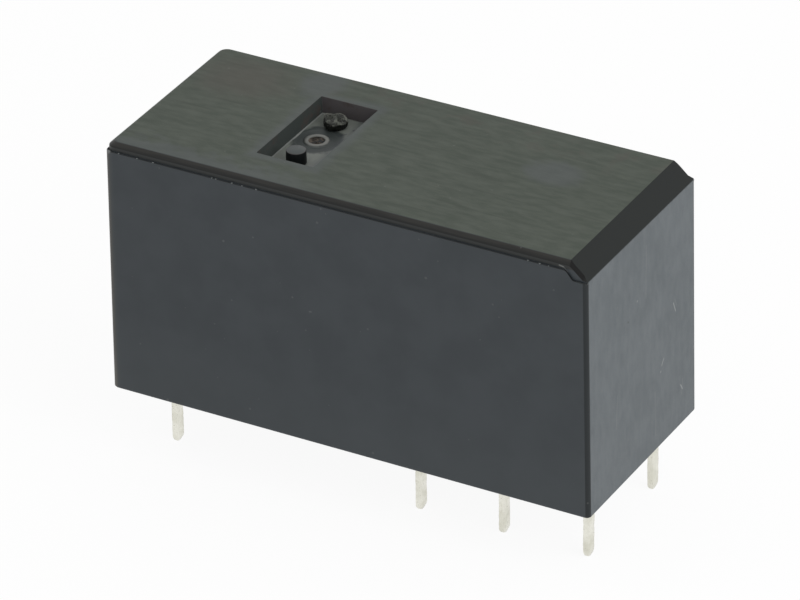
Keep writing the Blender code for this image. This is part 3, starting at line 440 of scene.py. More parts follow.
def bent_path(corners, radius, pace):
    """Stations (distance, point, heading) along runs of (x, z) corners with bends between them."""
    points = [Vector(corner) for corner in corners]
    heading = points[1] - points[0]
    bends = [(0.0, points[0], math.atan2(heading.y, heading.x))]
    for before, corner, after in zip(points, points[1:], points[2:]):
        into, out_of = (corner - before).normalized(), (after - corner).normalized()
        start = math.atan2(into.y, into.x)
        turn = math.remainder(math.atan2(out_of.y, out_of.x) - start, 2 * math.pi)
        begin = corner - into * radius * math.tan(abs(turn) / 2)
        side = math.copysign(1.0, turn)
        middle = begin + Vector((-into.y, into.x)) * side * radius
        distance = bends[-1][0] + (begin - bends[-1][1]).length
        for step in range(9):
            angle = start + turn * step / 8
            spoke = Vector((math.sin(angle), -math.cos(angle))) * side * radius
            bends.append((distance + radius * abs(turn) * step / 8, middle + spoke, angle))
    last = bends[-1]
    bends.append((last[0] + (points[-1] - last[1]).length, points[-1], last[2]))
    stations = [bends[0]]
    for before, after in zip(bends, bends[1:]):
        parts = max(1, math.ceil((after[0] - before[0]) / pace))
        for step in range(1, parts + 1):
            share = step / parts
            distance = before[0] + (after[0] - before[0]) * share
            stations.append((distance, before[1].lerp(after[1], share), after[2]))
    return stations


def along_marks(marks, distance, length):
    """The middle and width at a distance, by smooth steps. A mark under 0 counts from the far end."""
    marks = [(d + length if d < 0 else d, *values) for d, *values in marks]
    if distance <= marks[0][0]:
        return marks[0][1:]
    for before, after in zip(marks, marks[1:]):
        if distance <= after[0]:
            share = (distance - before[0]) / (after[0] - before[0])
            share = share * share * (3 - 2 * share)
            return tuple(b + (a - b) * share for b, a in zip(before[1:], after[1:]))
    return marks[-1][1:]


def strip(corners, thickness, marks, edge, bend=BEND_RADIUS, pace=BLADE_PACE, pin=False):
    """Sheet metal bent along (x, z) corners, with rounded edges. marks are (distance, y, width)."""
    stations = bent_path(corners, bend, PIN_PACE if pin else pace)
    length = stations[-1][0]
    if pin:
        tip = [(d, stations[0][1] + Vector((0, d)), stations[0][2]) for d in (0.0, 0.008, 0.03)]
        stations = tip + stations[1:]
        stations = [station for i, station in enumerate(stations)
                    if station[0] < PIN_LENGTH + 1 or i % 3 == 0 or station is stations[-1]]
    rings = []
    for distance, point, heading in stations:
        middle, width = along_marks(marks, distance, length)
        depth = thickness
        if pin and distance < PIN_TAPER:
            rise = (distance + 0.006) / (PIN_TAPER + 0.006)
            width *= (1 - (1 - rise) ** 2.4) ** 0.5
            depth *= 1 - (1 - PIN_TIP_THICKNESS / thickness) * (1 - rise) ** 1.6
        round_off = min(edge, 0.45 * width, 0.45 * depth)
        across = Vector((-math.sin(heading), math.cos(heading)))
        ring = []
        for u, v, _ in rounded(-depth / 2, depth / 2, -width / 2, width / 2, round_off, 0, 3):
            place = point + across * u
            ring.append((place.x, middle + v, place.y))
        rings.append(ring)
    return loft(rings)


def hole_in(shape, x, y, z, radius=HOLE_RADIUS):
    drill = turned([(0, -0.6), (radius, -0.6), (radius, 0.6), (0, 0.6)], (x, y, z), 32, "X")
    return combined(shape, drill, "DIFFERENCE")


tinned = metal_finish("tinned_strip", (0.82, 0.81, 0.73), (0.7, 0.69, 0.6), (0.34, 0.33, 0.28),
                      (0.24, 0.46), (5.0, 5.0, 0.6), 2.2, 0.012)


def terminal(name, shape, pin_y):
    """A tinned strip as a terminal, with small dents and swellings on its pin."""
    shape.normal_update()
    for vertex in shape.verts:
        if vertex.co.z < RIM_Z:
            swell = noise.noise(vertex.co * DENT_SCALE) + 0.5 * noise.noise(vertex.co * DENT_SCALE * 3.1)
            swell *= DENT_DEPTH
            vertex.co.x += swell * math.copysign(1.0, vertex.normal.x) * abs(vertex.normal.x)
            vertex.co.y += swell * math.copysign(1.0, vertex.co.y - pin_y) * abs(vertex.normal.y)
    piece(f"{name}_strip", shape, tinned, "housing", "tinned_pins", name, sharp=60)


foot_length = PIN_LENGTH + FOOT_Z + BEND_RADIUS * (math.pi / 2 - 2)
for side_name, side in ROWS:
    pin_y, blade_y = side * PIN_Y, side * BLADE_Y
    post_marks = [(0, pin_y, PIN_WIDTH), (5.7, pin_y, PIN_WIDTH), (6.1, pin_y, COIL_POST_WIDTH)]
    post = strip([(COIL_PIN_X, -PIN_LENGTH), (COIL_PIN_X, COIL_POST_TOP_Z)], PIN_THICKNESS, post_marks,
                 STRIP_EDGE, pin=True)
    terminal(f"coil_terminal_{side_name}", post, pin_y)
    blade_marks = [(0, pin_y, PIN_WIDTH), (foot_length + 0.35, pin_y, PIN_WIDTH),
                   (foot_length + 0.75, blade_y, BLADE_WIDTH), (-0.4, blade_y, BLADE_WIDTH),
                   (-0.01, blade_y, BLADE_WIDTH - 0.5)]
    for kind, pin_x, blade_x in (("closed", CLOSED_PIN_X, CLOSED_BLADE_X),
                                 ("open", OPEN_PIN_X, OPEN_BLADE_X)):
        blade = strip([(pin_x, -PIN_LENGTH), (pin_x, FOOT_Z), (blade_x, FOOT_Z), (blade_x, BLADE_TOP_Z)],
                      PIN_THICKNESS, blade_marks, STRIP_EDGE, pin=True)
        blade = hole_in(blade, blade_x, blade_y, CONTACT_Z)
        terminal(f"normally_{kind}_terminal_{side_name}", blade, pin_y)
    common_marks = [(0, pin_y, PIN_WIDTH), (5.8, pin_y, PIN_WIDTH), (6.2, blade_y, SPRING_FOOT_WIDTH)]
    common = strip([(COMMON_X, -PIN_LENGTH), (COMMON_X, SPRING_PIVOT_Z + SPRING_FOOT)], PIN_THICKNESS,
                   common_marks, STRIP_EDGE, pin=True)
    terminal(f"common_terminal_{side_name}", hole_in(common, COMMON_X, blade_y, RIVET_Z), pin_y)


# Fixed contacts
# Each fixed contact is a silver alloy rivet with a flat face, upset in the hole of its terminal.
# The solid of the part has the right shape, so it stays, with its finish and rounded edges.


def dressed(node, finish, edge=0.03, from_degrees=35):
    """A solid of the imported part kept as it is, with its finish. A modifier rounds its sharp edges."""
    obj = nodes[node]
    obj.material_slots[0].material = finish
    weld = obj.modifiers.new("weld", "WELD")
    weld.merge_threshold = 0.001 * MM
    change = obj.modifiers.new("ease", "BEVEL")
    change.width = edge * MM
    change.segments = 2
    change.limit_method = "ANGLE"
    change.angle_limit = math.radians(from_degrees)
    obj.modifiers.new("weighted_normals", "WEIGHTED_NORMAL").keep_sharp = True


silver = metal_finish("contact_silver", (0.86, 0.84, 0.8), (0.74, 0.72, 0.67), (0.4, 0.36, 0.3),
                      (0.18, 0.34), (2.0, 2.0, 2.0), 5.0, 0.004)
for side_name, _ in ROWS:
    for kind in ("closed", "open"):
        dressed(f"normally_{kind}_contact_{side_name}", silver)


# Contact springs
# Each contact spring is a blade of rolled bronze with a double-headed silver rivet near its top,
# riveted at its foot to the common terminal. Its narrow tongue stands in a slot of the card.
SPRING_X, SPRING_THICKNESS, SPRING_TIP_Z = 8.4493, 0.15, 13.75
SPRING_WIDTH, SPRING_TONGUE_WIDTH = 2.6, 1.3

bronze = metal_finish("spring_bronze", (0.66, 0.42, 0.22), (0.52, 0.3, 0.14), (0.25, 0.13, 0.06),
                      (0.24, 0.4), (7.0, 7.0, 0.25), 3.0, 0.005)
rivet_copper = metal_finish("rivet_copper", (0.7, 0.38, 0.24), (0.54, 0.26, 0.15), (0.24, 0.11, 0.06),
                            (0.28, 0.45), (2.5, 2.5, 2.5), 4.0, 0.008)
spring_foot_z = SPRING_PIVOT_Z - SPRING_FOOT
for side_name, side in ROWS:
    blade_y = side * BLADE_Y
    shoulder = BLADE_TOP_Z - spring_foot_z
    blade = strip([(SPRING_X, spring_foot_z), (SPRING_X, SPRING_TIP_Z)], SPRING_THICKNESS,
                  [(0, blade_y, SPRING_FOOT_WIDTH - 0.3), (0.15, blade_y, SPRING_FOOT_WIDTH),
                   (1.8, blade_y, SPRING_FOOT_WIDTH), (2.2, blade_y, SPRING_WIDTH),
                   (shoulder, blade_y, SPRING_WIDTH), (shoulder + 0.4, blade_y, SPRING_TONGUE_WIDTH),
                   (-0.15, blade_y, SPRING_TONGUE_WIDTH), (-0.01, blade_y, SPRING_TONGUE_WIDTH - 0.25)],
                  0.04, pace=0.1)
    blade = hole_in(blade, SPRING_X, blade_y, RIVET_Z, 0.5)
    blade = hole_in(blade, SPRING_X, blade_y, CONTACT_Z)
    piece(f"contact_spring_{side_name}_blade", blade, bronze, f"spring_{side_name}", "spring_bronze",
          f"contact_spring_{side_name}", sharp=60)
    dressed(f"moving_contact_{side_name}", silver)
    dressed(f"spring_rivet_{side_name}", rivet_copper)


# Bobbin, winding and leads
# The bobbin is moulded in cream nylon, with two flanges and ears for the coil terminals. It is wound
# with enamelled copper wire. Each end of the wire leaves through a notch in the near flange and is
# wrapped and soldered at the top of its terminal.
COIL_Z, WIRE_RADIUS = 8.0, 0.08
COIL_RADIUS, COIL_BORE_RADIUS = 4.2, 2.3
COIL_NEAR_X, COIL_FAR_X, COIL_SHOULDER = -10.151, -1.351, 0.3
LEAD_Z, SOLDER_FOOT_Z, SOLDER_TOP_Z, SOLDER_RADIUS = 6.04, 5.55, 6.62, 0.52
TURN_STEPS, WIRE_SIDES = 36, 6

nylon = moulded_finish("bobbin_nylon", (0.5, 0.46, 0.37), (0.58, 0.545, 0.455), (0.7, 0.67, 0.59),
                       (0.36, 0.5))
dressed("bobbin", nylon, 0.05)

enamel, shader, place = finish_material("enamelled_wire", 0.75)
drawn = placed(worked_metal, Vector=place, Lines=(1.2, 0.6, 0.6), Fine=1.5)
colour = toned(drawn["Cloud"], 0.35, 0.65, (0.5, 0.16, 0.05), (0.62, 0.24, 0.09))
colour = blended(drawn["Pits"] * 0.3, colour, (0.2, 0.06, 0.02))
colour.to(shader["Base Color"])
ranged(drawn["Lines"], 0.2, 0.36).to(shader["Roughness"])
shader["Coat Weight"].default_value = 0.6
shader["Coat Roughness"].default_value = 0.12
roughened(shader, drawn["Lines"], 0.004)


def tube(points, radius, sides=WIRE_SIDES):
    """A round wire along points."""
    points = [Vector(point) for point in points]
    rings = []
    normal = (points[1] - points[0]).orthogonal()
    for index, point in enumerate(points):
        ahead = points[min(index + 1, len(points) - 1)] - points[max(index - 1, 0)]
        ahead.normalize()
        normal = (normal - ahead * normal.dot(ahead)).normalized()
        aside = ahead.cross(normal)
        angles = [2 * math.pi * step / sides for step in range(sides)]
        rings.append([point + (normal * math.cos(a) + aside * math.sin(a)) * radius for a in angles])
    return loft(rings)


def coil_radius(x):
    """The radius of the winding's outer layer, which steps down near its ends."""
    from_end = min(x - COIL_NEAR_X, COIL_FAR_X - x)
    share = min(1.0, max(0.0, from_end / (2 * COIL_SHOULDER)))
    return COIL_RADIUS - WIRE_RADIUS - COIL_SHOULDER * (1 - share) ** 2


turns = math.floor((COIL_FAR_X - COIL_NEAR_X - 2 * WIRE_RADIUS) / (2 * WIRE_RADIUS)) - 0.5
wire = []
for step in range(int(turns * TURN_STEPS) + 1):
    angle = 2 * math.pi * step / TURN_STEPS
    x = COIL_NEAR_X + WIRE_RADIUS + 2 * WIRE_RADIUS * step / TURN_STEPS
    reach = coil_radius(x) + 0.006 * noise.noise(Vector((x * 3, math.cos(angle), math.sin(angle))))
    wire.append((x, reach * math.cos(angle), COIL_Z + reach * math.sin(angle)))
piece("winding_outer_turns", tube(wire, WIRE_RADIUS - 0.002), enamel, "housing", "enamelled_wire",
      "coil_winding", sharp=180)
layers = [(COIL_BORE_RADIUS, COIL_NEAR_X), (coil_radius(COIL_NEAR_X) - 0.03, COIL_NEAR_X)]
for step in range(1, 40):
    x = COIL_NEAR_X + (COIL_FAR_X - COIL_NEAR_X) * step / 40
    layers.append((coil_radius(x) - 0.05, x))
layers += [(coil_radius(COIL_FAR_X) - 0.03, COIL_FAR_X), (COIL_BORE_RADIUS, COIL_FAR_X)]
piece("winding_under_layers", turned(layers, (0, 0, COIL_Z), 64, "X"), enamel, "housing", "enamelled_wire")

solder_finish = metal_finish("solder", (0.72, 0.72, 0.69), (0.58, 0.58, 0.55), (0.3, 0.29, 0.27),
                             (0.14, 0.34), (2.0, 2.0, 2.0), 2.5, 0.01)
lead_reach = COIL_RADIUS + WIRE_RADIUS + 0.05
lead_angle = math.asin((COIL_Z - LEAD_Z) / lead_reach)
lead_start_x, lead_end_x = COIL_NEAR_X + 2 * COIL_SHOULDER, COIL_PIN_X + 0.3
for side_name, side in ROWS:
    route = []
    for step in range(17):
        angle = lead_angle * (step / 8 - 1)
        reach = lead_reach - 0.08 * max(0.0, -angle / lead_angle)
        route.append((lead_start_x, side * reach * math.cos(angle), COIL_Z - reach * math.sin(angle)))
    leave_y = route[-1][1]
    for step in range(1, 13):
        share = step / 12
        ease = share * share * (3 - 2 * share)
        route.append((lead_start_x + (lead_end_x - lead_start_x) * share,
                      leave_y + (side * PIN_Y - leave_y) * ease, LEAD_Z))
    piece(f"coil_lead_{side_name}_wire", tube(route, WIRE_RADIUS, 10), enamel, "housing", "enamelled_wire",
          f"coil_lead_{side_name}", sharp=180)
    profile = [(0, SOLDER_FOOT_Z)]
    for step in range(1, 24):
        share = step / 24
        bulge = SOLDER_RADIUS * math.sin(math.pi * share ** 0.85) ** 0.45
        z = SOLDER_FOOT_Z + (SOLDER_TOP_Z - SOLDER_FOOT_Z) * share
        profile.append((max(0.2 * (1 - share), bulge), z))
    profile.append((0, SOLDER_TOP_Z))
    cap = turned(profile, (COIL_PIN_X, side * PIN_Y, 0), 40)
    for vertex in cap.verts:
        swell = 1 - 0.05 * abs(noise.noise(vertex.co * 2.3))
        vertex.co.x = COIL_PIN_X + (vertex.co.x - COIL_PIN_X) * swell
        vertex.co.y = side * PIN_Y + (vertex.co.y - side * PIN_Y) * swell
    piece(f"solder_{side_name}_cap", cap, solder_finish, "housing", "solder", f"solder_{side_name}",
          sharp=180)


# Core and yoke
# The core is turned soft iron with a broad pole face. It goes through the bobbin and is staked over
# in the yoke, an L bent from nickel plated steel strip.
iron = metal_finish("soft_iron", (0.52, 0.51, 0.49), (0.4, 0.39, 0.37), (0.2, 0.17, 0.14),
                    (0.3, 0.46), (4.0, 0.8, 0.8), 5.0, 0.01)
plated = metal_finish("plated_steel", (0.62, 0.6, 0.56), (0.5, 0.49, 0.46), (0.28, 0.26, 0.23),
                      (0.26, 0.42), (0.5, 5.0, 5.0), 2.5, 0.006)
dressed("core", iron, 0.04)
dressed("yoke", plated, 0.06)


# Armature and its leaf spring
# The armature is a plated steel plate that tips on the end of the yoke. A leaf of thin spring steel
# is fixed under the yoke and turns up behind the armature, which it pushes open.
LEAF_THICKNESS, LEAF_BEND_RADIUS, LEAF_REACH = 0.1, 0.25, 2.6
LEAF_FIXED_X, LEAF_Z, LEAF_WIDTH, LEAF_TIP_WIDTH = -7.3007, 2.3, 3.0, 2.1
ARMATURE_FACE_X, ARMATURE_PIVOT_Z, ARMATURE_ANGLE = -11.5507, 2.5, 0.075834
BEHIND_ARMATURE = 0.95

dressed("armature", plated, 0.06)
spring_steel = metal_finish("spring_steel", (0.64, 0.64, 0.62), (0.5, 0.5, 0.49), (0.3, 0.26, 0.2),
                            (0.2, 0.36), (0.4, 6.0, 6.0), 3.0, 0.004)


def behind_armature(rise):
    """A point of the leaf behind the open armature, rise millimetres up along its back."""
    sine, cosine = math.sin(ARMATURE_ANGLE), math.cos(ARMATURE_ANGLE)
    return (ARMATURE_FACE_X - BEHIND_ARMATURE * cosine - rise * sine,
            ARMATURE_PIVOT_Z - BEHIND_ARMATURE * sine + rise * cosine)


bend_rise = LEAF_Z - ARMATURE_PIVOT_Z + BEHIND_ARMATURE * math.sin(ARMATURE_ANGLE)
bend_rise = bend_rise / math.cos(ARMATURE_ANGLE)
leaf = strip([(LEAF_FIXED_X, LEAF_Z), behind_armature(bend_rise), behind_armature(LEAF_REACH)],
             LEAF_THICKNESS, [(0, 0, LEAF_WIDTH), (-1.3, 0, LEAF_WIDTH), (-0.05, 0, LEAF_TIP_WIDTH)],
             0.03, LEAF_BEND_RADIUS, 0.1)
leaf = piece("armature_leaf_spring", leaf, spring_steel, None, "spring_steel", "armature_spring", sharp=60)
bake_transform(leaf)


# Card
# The card is a plate moulded in pale thermoplastic. It slides on the bobbin's guides, and its slots
# take the armature's tongue at one end and the two contact springs at the other.
card_finish = moulded_finish("card_plastic", (0.66, 0.62, 0.51), (0.75, 0.72, 0.62), (0.82, 0.8, 0.73),
                             (0.38, 0.52))
dressed("card", card_finish, 0.05)


# Case
# The case is one injection moulding in near-black glass-filled thermoplastic, pushed down over the
# base. Its walls are drafted, its end chamfer and edge bevels are polished, and its lid is set in
# behind a parting line with specks of flash. The roof recess is left by the mould's gate and tools.
TOP_Z, HALF_LENGTH, HALF_WIDTH = 15.5, 14.3997, 6.25
NEAR_DRAFT, FAR_DRAFT, SIDE_DRAFT = 0.07, 0.25, 0.025
CASE_LOW_Z, RIM_ROUND = 0.46, 0.12
NEAR_CORNER, FAR_CORNER = 0.3, 0.25
LID_NEAR_CORNER, LID_FAR_CORNER = 0.45, 0.06
LID_INSET, LID_FLUSH, LID_FAR_FLUSH = 0.12, 0.02, 0.012
LIP_DROP, LIP_FOOT_DROP, S_START_X, S_END_X = 0.48, 0.99, 12.86, 13.46
PARTING_DEPTH = 0.1
BEVEL_RUN, BEVEL_DROP = 0.24, 0.25
CHAMFER_EDGE_X, CHAMFER_SLOPE = 13.09, 0.902
SKIRT_WALL, WALL, SKIRT_TOP_Z = 0.6, 0.8, 2.25
RECESS_X, RECESS_HALF_LENGTH, RECESS_HALF_WIDTH, RECESS_CORNER = -4.97, 1.7, 3.485, 0.05
RECESS_FLOOR_Z, RECESS_UNDER_Z, RECESS_DRAFT = 14.55, 13.85, 0.05
POST_X, POST_Y, GATE_X, GATE_Y = -5.17, -1.94, -5.37, 0.61

# A dent, scratch or scuff, or a painted highlight: 1 along a line between two points, fading at its sides.
scuff_and_glint_mark, given, out = effect(
    "Scuff and glint mark", ["Mask"], From=(0.0, 0.0, 0.0), To=(0.0, 0.0, 0.0), Width=0.05)
along = vector_node("SUBTRACT", given["To"], given["From"])["Vector"]
away = vector_node("SUBTRACT", given["Vector"], given["From"])["Vector"]
along_dot = vector_node("DOT_PRODUCT", away, along)["Value"]
own_dot = larger(vector_node("DOT_PRODUCT", along, along)["Value"], 0.0001)
share = calculated("DIVIDE", along_dot, own_dot, clamp=True)
foot = add(scuff_and_glint_mark, "ShaderNodeVectorMath", {0: along, "Scale": share}, operation="SCALE")["Vector"]
gap = vector_node("DISTANCE", away, foot)["Value"]
between(gap / given["Width"], 1.0, 0.3).to(out["Mask"])


def marked(place, marks):
    """A mask of scuffs and painted highlights. marks are (from, to, width)."""
    mask = 0.0
    for start, end, width in marks:
        one = placed(scuff_and_glint_mark, Vector=place, From=start, To=end, Width=width)["Mask"]
        mask = larger(one, mask)
    return mask


def split(vector):
    return add(vector.tree, "ShaderNodeSeparateXYZ", {"Vector": vector})


def lid_patch(parts, ragged, centre, reach, soft):
    """1 in a ragged oval on the lid, fading over soft times its reach."""
    x, y = ((parts[axis] - middle) / length for axis, middle, length in zip("XY", centre, reach))
    distance = calculated("SQRT", x * x + y * y)
    return between(distance + ragged, 1.0 + soft, 1.0 - soft)


def outside_box(parts, centre, half):
    """The distance in millimetres outside an upright rectangle, less than 0 inside it."""
    return larger(*(abs(parts[axis] - middle) - reach for axis, middle, reach in zip("XY", centre, half)))


case_finish, shader, place = finish_material("case_moulding")
shader["Specular IOR Level"].default_value = 0.25
at = split(place)
facing = split(add(place.tree, "ShaderNodeTexCoord")["Normal"])
end_skin = placed(moulded_skin, Vector=place, Grain=15.0, Flow=(1.0, 1.7, 0.6))
side_skin = placed(moulded_skin, Vector=place, Grain=17.0, Flow=(0.22, 1.0, 0.4))
lid_skin = placed(moulded_skin, Vector=place, Grain=22.0, Flow=(0.5, 1.7, 1.0))
ragged = noise_value(place, 0.9, 4.0, 0.6) - 0.5

faces_up = between(facing["Z"], 0.9, 0.99)
on_lid = faces_up * between(at["Z"], 15.42, 15.48)
on_floor = faces_up * between(at["Z"], 14.6, 14.57)
on_post = faces_up * between(at["Z"], 15.2, 15.25) * between(at["Z"], 15.4, 15.35)
polished = between(facing["Z"], 0.2, 0.4) * between(facing["Z"], 0.93, 0.85) * between(at["Z"], 14.4, 14.5)
end_face = between(abs(facing["X"]), 0.8, 0.97)
corner = between(facing["X"], 0.03, 0.2) * between(abs(facing["Y"]), 0.03, 0.2)
corner = corner * between(at["Z"], 14.7, 14.5)
around_recess = outside_box(at, (RECESS_X, 0.0), (RECESS_HALF_LENGTH, RECESS_HALF_WIDTH))
recess_wall = between(around_recess, 0.06, 0.03) * between(at["Z"], 14.45, 14.52)
over_parting = between(at["Z"], 15.04, 15.06) * between(at["Z"], 15.25, 15.23)

side_colour = toned(side_skin["Tone"], 0.3, 0.7, (0.036, 0.0425, 0.0475), (0.042, 0.049, 0.0545))
side_colour = blended(over_parting, side_colour, (0.025, 0.027, 0.0262))
end_mottle = end_skin["Flow"] * 0.35 + end_skin["Height"] * 0.3 + end_skin["Tone"] * 0.35
# The contact end is coloured lighter than the sides: partly its own mottled skin, partly painted light
# standing in for the lamp on that end.
end_colour_and_light = toned(end_mottle, 0.35, 0.65, (0.067, 0.079, 0.086), (0.095, 0.108, 0.116))
side_colour = blended(between(at["Z"], 6.5, 1.0) * 0.4, side_colour, (0.051, 0.059, 0.063))


def on_end(marks):
    """A mask of scuffs on the contact end, given by y and z alone."""
    slope = FAR_DRAFT / (TOP_Z - RIM_Z)
    return marked(place, [(*((HALF_LENGTH - slope * (z - RIM_Z), y, z) for y, z in ends), width)
                          for *ends, width in marks])


pale_marks = [((3.6, 8.35), (3.85, 7.75), 0.045), ((2.2, 5.3), (2.45, 5.6), 0.05),
              ((2.05, 4.95), (2.1, 5.0), 0.05), ((4.4, 2.95), (4.62, 2.6), 0.05),
              ((-0.58, 10.6), (-0.56, 10.62), 0.06)]
faint_marks = [((0.42, 10.3), (0.5, 13.4), 0.06), ((-3.1, 4.2), (-2.9, 6.1), 0.04),
               ((4.65, 3.2), (4.5, 2.3), 0.07), ((3.72, 8.6), (4.0, 8.0), 0.04),
               ((1.4, 4.1), (1.45, 1.4), 0.05)]
dark_marks = [((-1.64, 9.89), (-1.62, 9.9), 0.07)]
end_colour_and_light = coated(
    end_colour_and_light,
    (on_end(pale_marks) * 0.8, (0.25, 0.26, 0.26)),
    (on_end(faint_marks) * 0.2, (0.2, 0.205, 0.205)),
    (on_end(dark_marks) * 0.85, (0.02, 0.022, 0.022)))
# Painted highlight down the rounded front corner of the near end, brighter towards the bottom.
left_corner = between(facing["Y"], -0.1, -0.4)
edge_highlight_band = between(at["X"], -13.75, -14.25) * left_corner
edge_highlight_line = between(at["X"], -14.02, -14.16) * left_corner
edge_highlight_tone = toned(at["Z"], 3.5, 0.5, (0.075, 0.073, 0.067), (0.11, 0.106, 0.096))
# Painted light and shade on the recess walls: paler where a wall faces away from the contact end, darker
# where it faces it; the brown patches are the wall's own.
wall_tone_and_shade = toned(facing["X"], 0.3, 0.7, (0.07, 0.064, 0.066), (0.034, 0.04, 0.038))
wall_tone_and_shade = blended(between(ragged, 0.04, 0.14) * 0.6, wall_tone_and_shade, (0.05, 0.038, 0.034))
# Painted reflection on the polished bevel: dark low on the bevel and paler at its top, and near black where
# it faces the contact end; the drawn streaks are the polish's own.
drawn = noise_value(stretched(place, (0.35, 3.0, 7.0)), 1.3, 4.0)
bevel_rise = at["Z"] + (drawn - 0.5) * 0.35
bevel_tone_and_reflection = toned(bevel_rise, 15.26, 15.46, (0.008, 0.0085, 0.0082), (0.021, 0.0205, 0.0185))
bevel_tone_and_reflection = toned(facing["X"], 0.3, 0.5, bevel_tone_and_reflection, (0.002, 0.004, 0.0035))
# Painted dark reflection: the bevel along the chamfer's sides is made near black.
chamfer_side_shade = polished * between(facing["X"], 0.2, 0.35) * between(abs(facing["Y"]), 0.2, 0.4)

lid_mottle = lid_skin["Flow"] * 0.7 + lid_skin["Height"] * 0.3
etched = toned(lid_mottle, 0.33, 0.67, (0.043, 0.054, 0.0415), (0.066, 0.077, 0.0625))
streak = between(noise_value(stretched(place, (0.12, 1.9, 1.0)), 1.1, 5.0), 0.56, 0.7)
brown = lid_patch(at, ragged, (-11.2, 3.3), (2.4, 1.9), 0.6)
brown_rear = between(at["Y"], 2.0, 5.0) * between(ragged, 0.0, 0.16)
brown = larger(brown, brown_rear * 0.7)
etched = coated(etched, (streak * 0.5, (0.038, 0.046, 0.036)), (brown * 0.55, (0.066, 0.06, 0.051)))
smooth = toned(lid_skin["Tone"], 0.3, 0.7, (0.05, 0.058, 0.061), (0.062, 0.07, 0.073))
blue_masks = [between(around_recess + ragged, 0.8, 0.1),
              between(at["Y"] + ragged * 4.0, -4.2, -5.4) * between(at["X"], 1.0, -6.0),
              lid_patch(at, ragged, (-7.2, 4.7), (1.2, 1.5), 0.35),
              lid_patch(at, ragged, (8.2, 1.7), (1.6, 1.2), 0.35)]
blue = 0.0
for mask in blue_masks:
    blue = larger(mask, blue)
floor_tone = toned(lid_skin["Tone"], 0.35, 0.65, (0.132, 0.145, 0.13), (0.165, 0.178, 0.16))
from_gate = vector_node("DISTANCE", place, (GATE_X, GATE_Y, RECESS_FLOOR_Z))["Value"]
# Painted shade: the recess floor is darkened in and round the shallow dish about the gate.
dish_shade = between(from_gate + ragged, 1.6, 1.25)
far_side = between(at["X"], -4.6, -3.9)
foot_line = on_floor * between(around_recess, -0.17, -0.13) * between(at["X"], -6.3, -6.5)
# Painted shade: the sides of the post in the recess are made near black, while its top stays lighter.
post_side_shade = between(outside_box(at, (POST_X, POST_Y), (0.5, 0.5)), 0.12, 0.1)
post_side_shade = post_side_shade * between(facing["Z"], 0.5, 0.3) * between(at["Z"], 14.5, 14.56)
side_dots = [((-7.22, -6.23, 11.4), (-7.2, -6.23, 11.41), 0.09),
             ((-5.41, -6.23, 12.1), (-5.4, -6.23, 12.1), 0.07),
             ((-3.11, -6.23, 9.1), (-3.1, -6.23, 9.1), 0.08),
             ((-2.09, -6.23, 8.5), (-2.0, -6.23, 8.52), 0.07)]
# Painted highlights: pale streaks on the lid's band beside the S, and painted light in the shaded groove at
# the near front corner.
glints = [((12.55, -6.13, 15.16), (12.78, -6.13, 15.12), 0.07),
          ((12.78, -6.13, 15.12), (13.05, -6.13, 14.9), 0.045),
          ((-14.32, -6.08, 14.98), (-14.1, -6.2, 15.0), 0.16)]
nicks = [((-4.15, 2.42, 14.55), (-4.02, 2.52, 14.55), 0.09),
         ((-4.6, 1.5, 14.55), (-4.3, 1.9, 14.55), 0.05)]
dust = placed(specks, Vector=place, Spacing=0.9, Size=0.1)["Mask"]
worn = placed(edge_wear, Vector=place, Reach=0.00005, Patches=1.2)["Mask"]
colour = coated(
    side_colour,
    (end_face, end_colour_and_light),
    (edge_highlight_band * 0.7, (0.068, 0.071, 0.07)),
    (edge_highlight_line * 0.8, edge_highlight_tone),
    (corner, (0.015, 0.018, 0.0195)),
    (recess_wall, wall_tone_and_shade),
    (polished, bevel_tone_and_reflection),
    (chamfer_side_shade, (0.001, 0.001, 0.001)),
    (on_lid, blended(blue * 0.55, etched, smooth)),
    (on_floor, floor_tone),
    (on_floor * dish_shade, (0.034, 0.0405, 0.0395)),
    (on_floor * far_side * 0.6, (0.06, 0.07, 0.076)),
    (foot_line, (0.2, 0.21, 0.2)),
    (on_post, (0.05, 0.058, 0.057)),
    (post_side_shade, (0.004, 0.005, 0.005)),
    (marked(place, side_dots) * 0.5, (0.12, 0.125, 0.125)),
    (marked(place, glints) * 0.9, (0.15, 0.155, 0.152)),
    (marked(place, nicks) * 0.8, (0.02, 0.022, 0.03)),
    (dust * 0.3, (0.13, 0.135, 0.13)),
    (worn * (0.25 - polished * 0.25), (0.1, 0.1, 0.094)),
    (between(at["Z"], 0.5, 0.42) * 0.5, (0.07, 0.06, 0.05)))
colour.to(shader["Base Color"])
matt = ranged(side_skin["Flow"], 0.4, 0.5) + on_lid * 0.14 - on_lid * blue * 0.1 - polished * 0.12
matt.to(shader["Roughness"])
roughened(shader, lid_skin["Height"] * 0.6 + end_skin["Flow"] * end_face * 0.5, 0.016)


def lip_z(x):
    """The height of the parting line: level along the case, then an S down beside the chamfer."""
    share = min(1.0, max(0.0, (x - S_START_X) / (S_END_X - S_START_X)))
    return TOP_Z - LIP_DROP - (LIP_FOOT_DROP - LIP_DROP) * (1 - math.cos(math.pi * share)) / 2


def lid_z(x):
    """The height of the lid's outer face: level, then falling along the chamfer."""
    return TOP_Z - CHAMFER_SLOPE * max(0.0, x - CHAMFER_EDGE_X)


s_stations = [S_START_X + (S_END_X - S_START_X) * step / 12 for step in range(13)]
ALONG_CASE = [-12.0, -8.0, -4.0, 0.0, 4.0, 8.0, 11.0, 12.4, CHAMFER_EDGE_X, 13.6, 13.75, 13.88]
ALONG_CASE = sorted(ALONG_CASE + [x for x in s_stations if abs(x - CHAMFER_EDGE_X) > 0.03])


